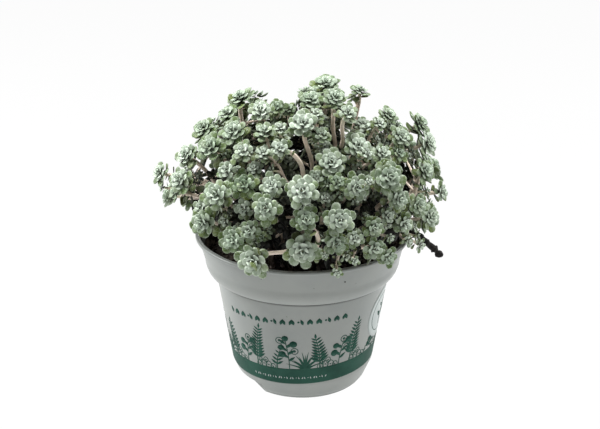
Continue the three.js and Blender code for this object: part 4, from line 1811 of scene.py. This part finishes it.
def addMarks(bm, row, lift):
    start, end = row["ends"]
    for k in range(int((end - start) / row["apart"]) + 1):
        place = Vector((start + k * row["apart"], row["height"]))
        if k % row["group"] == row["group"] - 1:
            addDisc(bm, place + Vector((0, row["dotRise"])), row["dot"], lift)
        else:
            lean = row["lean"] if k % 2 else -row["lean"]
            addLeaflet(bm, place - Vector((0, row["drop"])), lean, *row["leaflet"], lift)


def addSprout(bm):
    # the ring and the sprout that stand on the badge
    middle = Vector((badge["across"], badge["height"]))
    lift = badge["lift"] + printLook["onTop"]
    radius, width = badge["ring"]
    addRing(bm, middle, (radius, radius), width, lift, badge["ringSteps"])
    points = stalkLine(middle + Vector(sprout["foot"]), *sprout["size"])
    addStrip(bm, points, lambda t: between(*sprout["stem"], t), lift)
    for index, side, size in sprout["leaflets"]:
        angle = side * sprout["spread"]
        addLeaflet(bm, points[index], angle, size, size * sprout["slim"], lift + sprout["lift"])


def finishPrint(bm, name, material, thick):
    bmesh.ops.remove_doubles(bm, verts=bm.verts, dist=0.0005)
    bmesh.ops.triangulate(bm, faces=bm.faces)
    bmesh.ops.recalc_face_normals(bm, faces=bm.faces)
    bmesh.ops.solidify(bm, geom=bm.faces, thickness=thick)
    wrapOnWall(bm)
    finishPiece(bm, name, "pot", material)


def makePrint():
    bm = bmesh.new()
    plantBorder(bm)
    addMarks(bm, markRow, printLook["lift"])
    addSprout(bm)
    finishPrint(bm, "printedBorder", inkMaterial, printLook["thick"])


def makeBand():
    # it goes all the way round, with the tilt of the drawing
    low, high = printLook["band"]
    above = printLook["lift"] - printLook["bandLower"]
    rows = [between(low, high, k / printLook["bandRows"]) for k in range(printLook["bandRows"] + 1)]
    profile = [(bodyRadius(z) + above, z) for z in rows]
    profile += [(bodyRadius(z) - printLook["sunk"], z) for z in reversed(rows)]
    bm = turnedShape(profile, closed=True)
    for vert in bm.verts:
        out = math.hypot(vert.co.x, vert.co.y)
        lift = out - bodyRadius(vert.co.z)
        vert.co.z += printLook["tilt"] * vert.co.x / out
        wider = (bodyRadius(vert.co.z) + lift) / out
        vert.co.x *= wider
        vert.co.y *= wider
    finishPiece(bm, "printedBand", "pot", inkMaterial)


def makeBadge():
    bm = bmesh.new()
    addMarks(bm, paleRow, printLook["lift"] + printLook["onTop"])
    finishPrint(bm, "paleMarks", badgeMaterial, printLook["thick"])
    bm = bmesh.new()
    place = Matrix.Translation((badge["across"], badge["height"], badge["lift"]))
    made = bmesh.ops.create_circle(bm, cap_ends=True, segments=badge["steps"], radius=1, matrix=place)
    edges = list({edge for vert in made["verts"] for edge in vert.link_edges})
    radii = [between(1, badge["radius"], k / badge["rings"]) for k in range(badge["rings"] + 1)]
    for before, after in zip(radii, radii[1:]):
        verts, edges = extrudeRing(bm, edges)
        wider = after / before
        bmesh.ops.scale(bm, vec=(wider, wider, 1), space=place.inverted(), verts=verts)
    finishPrint(bm, "badgeDisc", badgeMaterial, badge["lift"] + printLook["sunk"])


inkMaterial = makeSpeckledMaterial("greenInk", inkPaint)
badgeMaterial = makeSpeckledMaterial("paleInk", palePaint)
makePrint()
makeBand()
makeBadge()
print("print made")


# Soil: a dark lumpy top with crumbs, filling the pot
soilLook = {
    "rings": 34,
    "lump": 1.3,
    "lumpScale": 0.11,
    "fractal": (0.8, 2.1, 4),
    "settled": 0.5,
    "topEdge": 0.1,
    "crumbTurn": 6,
    "stuckWidth": 0.8,
    "crumbs": 1700,
    "crumbSize": (0.5, 1.5),
    "crumbRise": 0.3,  # share of its size that lifts a crumb
    "crumbShape": ((0.5, 1), (0.4, 0.9)),  # depth and height as shares of the width
    "crumbsTo": 0.985,  # share of the soil's radius
    # crumbs that stick to the outside of the pot: turn in degrees, height, size
    "stuck": (
        (-131, 81, 0.35),
        (-112, 81.5, 0.4),
        (-67, 79.5, 0.55),
        (-60, 77, 0.25),
        (-84, 77.5, 0.25),
        (-20, 80, 0.4),
        (40, 79, 0.4),
        (105, 81, 0.5),
        (160, 78, 0.35),
        (-100, 57, 0.25),
        (20, 35, 0.3),
    ),
    "grain": (420.0, 1600.0, 0.62),
    "patches": (0.3, 0.7),
    "colours": (rgb(22, 18, 15), rgb(52, 42, 33)),
    "speckShare": 0.5,
    "speck": rgb(92, 74, 56),
    "roughness": 0.9,
    "specular": 0.3,
    "bump": 0.0006,
}


def lumpAt(place):
    rough = noise.fractal(place * soilLook["lumpScale"], *soilLook["fractal"])
    return rough * soilLook["lump"] - soilLook["settled"]


def addCrumbs(bm, edge):
    draw = drawFrom(seeds["soil"])
    for _ in range(soilLook["crumbs"]):
        out = edge * math.sqrt(draw()) * soilLook["crumbsTo"]
        turn = draw() * 2 * math.pi
        size = between(*soilLook["crumbSize"], draw() ** 2)
        flat = onCircle(out, turn, soil["top"])
        flat.z += lumpAt(flat) + size * soilLook["crumbRise"]
        first, second = (draw() * soilLook["crumbTurn"] for _ in range(2))
        turned = Matrix.Rotation(first, 4, "X") @ Matrix.Rotation(second, 4, "Z")
        deep, tall = (between(*limits, draw()) for limits in soilLook["crumbShape"])
        shape = Matrix.Diagonal((size, size * deep, size * tall, 1))
        place = Matrix.Translation(flat) @ turned @ shape
        bmesh.ops.create_icosphere(bm, subdivisions=1, radius=1, matrix=place)


def addStuckCrumbs(bm):
    for angle, height, size in soilLook["stuck"]:
        out = bodyRadius(height) if height < pot["bodyTop"] else collarRadius(height)
        place = Matrix.Translation(onCircle(out, math.radians(angle), height))
        wide = size * soilLook["stuckWidth"]
        shape = Matrix.Diagonal((wide, size, wide, 1))
        bmesh.ops.create_icosphere(bm, subdivisions=1, radius=1, matrix=place @ shape)


def makeSoil():
    inset = pot["wall"] + soil["gap"]
    edge = collarRadius(soil["top"]) - inset
    profile = [(edge * k / soilLook["rings"], soil["top"]) for k in range(soilLook["rings"] + 1)]
    profile += [
        (pot["collarBottomRadius"] - inset, pot["collarBottom"]),
        (pot["bodyTopRadius"] - inset, pot["bodyTop"] + inset),
        (pot["footRadius"] - inset, pot["footHeight"]),
        (bodyRadius(pot["baseRound"]) - inset, pot["baseRound"] + inset),
        (0, inset),
    ]
    lump = workObject(turnedShape(profile), "lump")
    cutAway(lump, workObject(notchBlocks(inset), "notches"))
    bm = bmesh.new()
    bm.from_mesh(lump.data)
    bpy.data.objects.remove(lump)
    for vert in bm.verts:
        if vert.co.z > soil["top"] - soilLook["topEdge"]:
            vert.co.z += lumpAt(vert.co)
    addCrumbs(bm, edge)
    addStuckCrumbs(bm)
    bmesh.ops.recalc_face_normals(bm, faces=bm.faces)
    finishPiece(bm, "pottingSoil", "soil", soilMaterial)


soilMaterial = makeSpeckledMaterial("pottingSoil", soilLook)
makeSoil()
print("soil made")


# The dried stem of last year: a dark twig with knobs and a thick end
twigLook = {
    "radius": 1.75,
    "sides": 14,
    "spacing": 0.7,
    "wave": (0.5, 0.35),  # scale and depth
    "bumps": (1.3, 0.3),
    "blob": 0.5,
    "blobAt": 2.2,
    "blobReach": 1.6,
    "end": (0.85, 0.5),
    "grain": (500.0, 1700.0, 0.6),
    "patches": (0.35, 0.7),
    "colours": (rgb(12, 11, 11), rgb(38, 34, 31)),
    "speckShare": 0.3,
    "speck": rgb(70, 62, 54),
    "roughness": 0.8,
    "specular": 0.3,
    "bump": 0.0004,
}


def makeOldStem():
    bottom = feet[shootCount].copy()
    bottom.z = soil["top"] - soil["holeDepth"] + soil["gap"]
    ground = feet[shootCount].copy()
    ground.z = soil["top"] + stem["upright"] * 2
    guide = [bottom, ground, Vector(oldStem["over"])] + [placeAtDepth(*p) for p in oldStem["seen"]]
    points = pathThrough(guide, twigLook["spacing"])
    tangents = [(b - a).normalized() for a, b in zip(points, points[1:])]
    tangents.append(tangents[-1])
    waveScale, waveDepth = twigLook["wave"]
    bumpScale, bumpDepth = twigLook["bumps"]
    radii = []
    for k, point in enumerate(points):
        wave = noise.noise(point * waveScale) * waveDepth + noise.noise(point * bumpScale) * bumpDepth
        fromEnd = (len(points) - 1 - k) * twigLook["spacing"]
        blob = 1 + twigLook["blob"] * math.exp(-((fromEnd - twigLook["blobAt"]) / twigLook["blobReach"]) ** 2)
        radii.append(twigLook["radius"] * (1 + wave) * blob)
    radii[-2] *= twigLook["end"][0]
    radii[-1] *= twigLook["end"][1]
    bm = bmesh.new()
    addTube(bm, points, tangents, radii, [0] * len(points), twigLook["sides"])
    bmesh.ops.recalc_face_normals(bm, faces=bm.faces)
    finishPiece(bm, "driedStem", "old_stem", twigMaterial)


twigMaterial = makeSpeckledMaterial("driedTwig", twigLook)
makeOldStem()
print("old stem made")
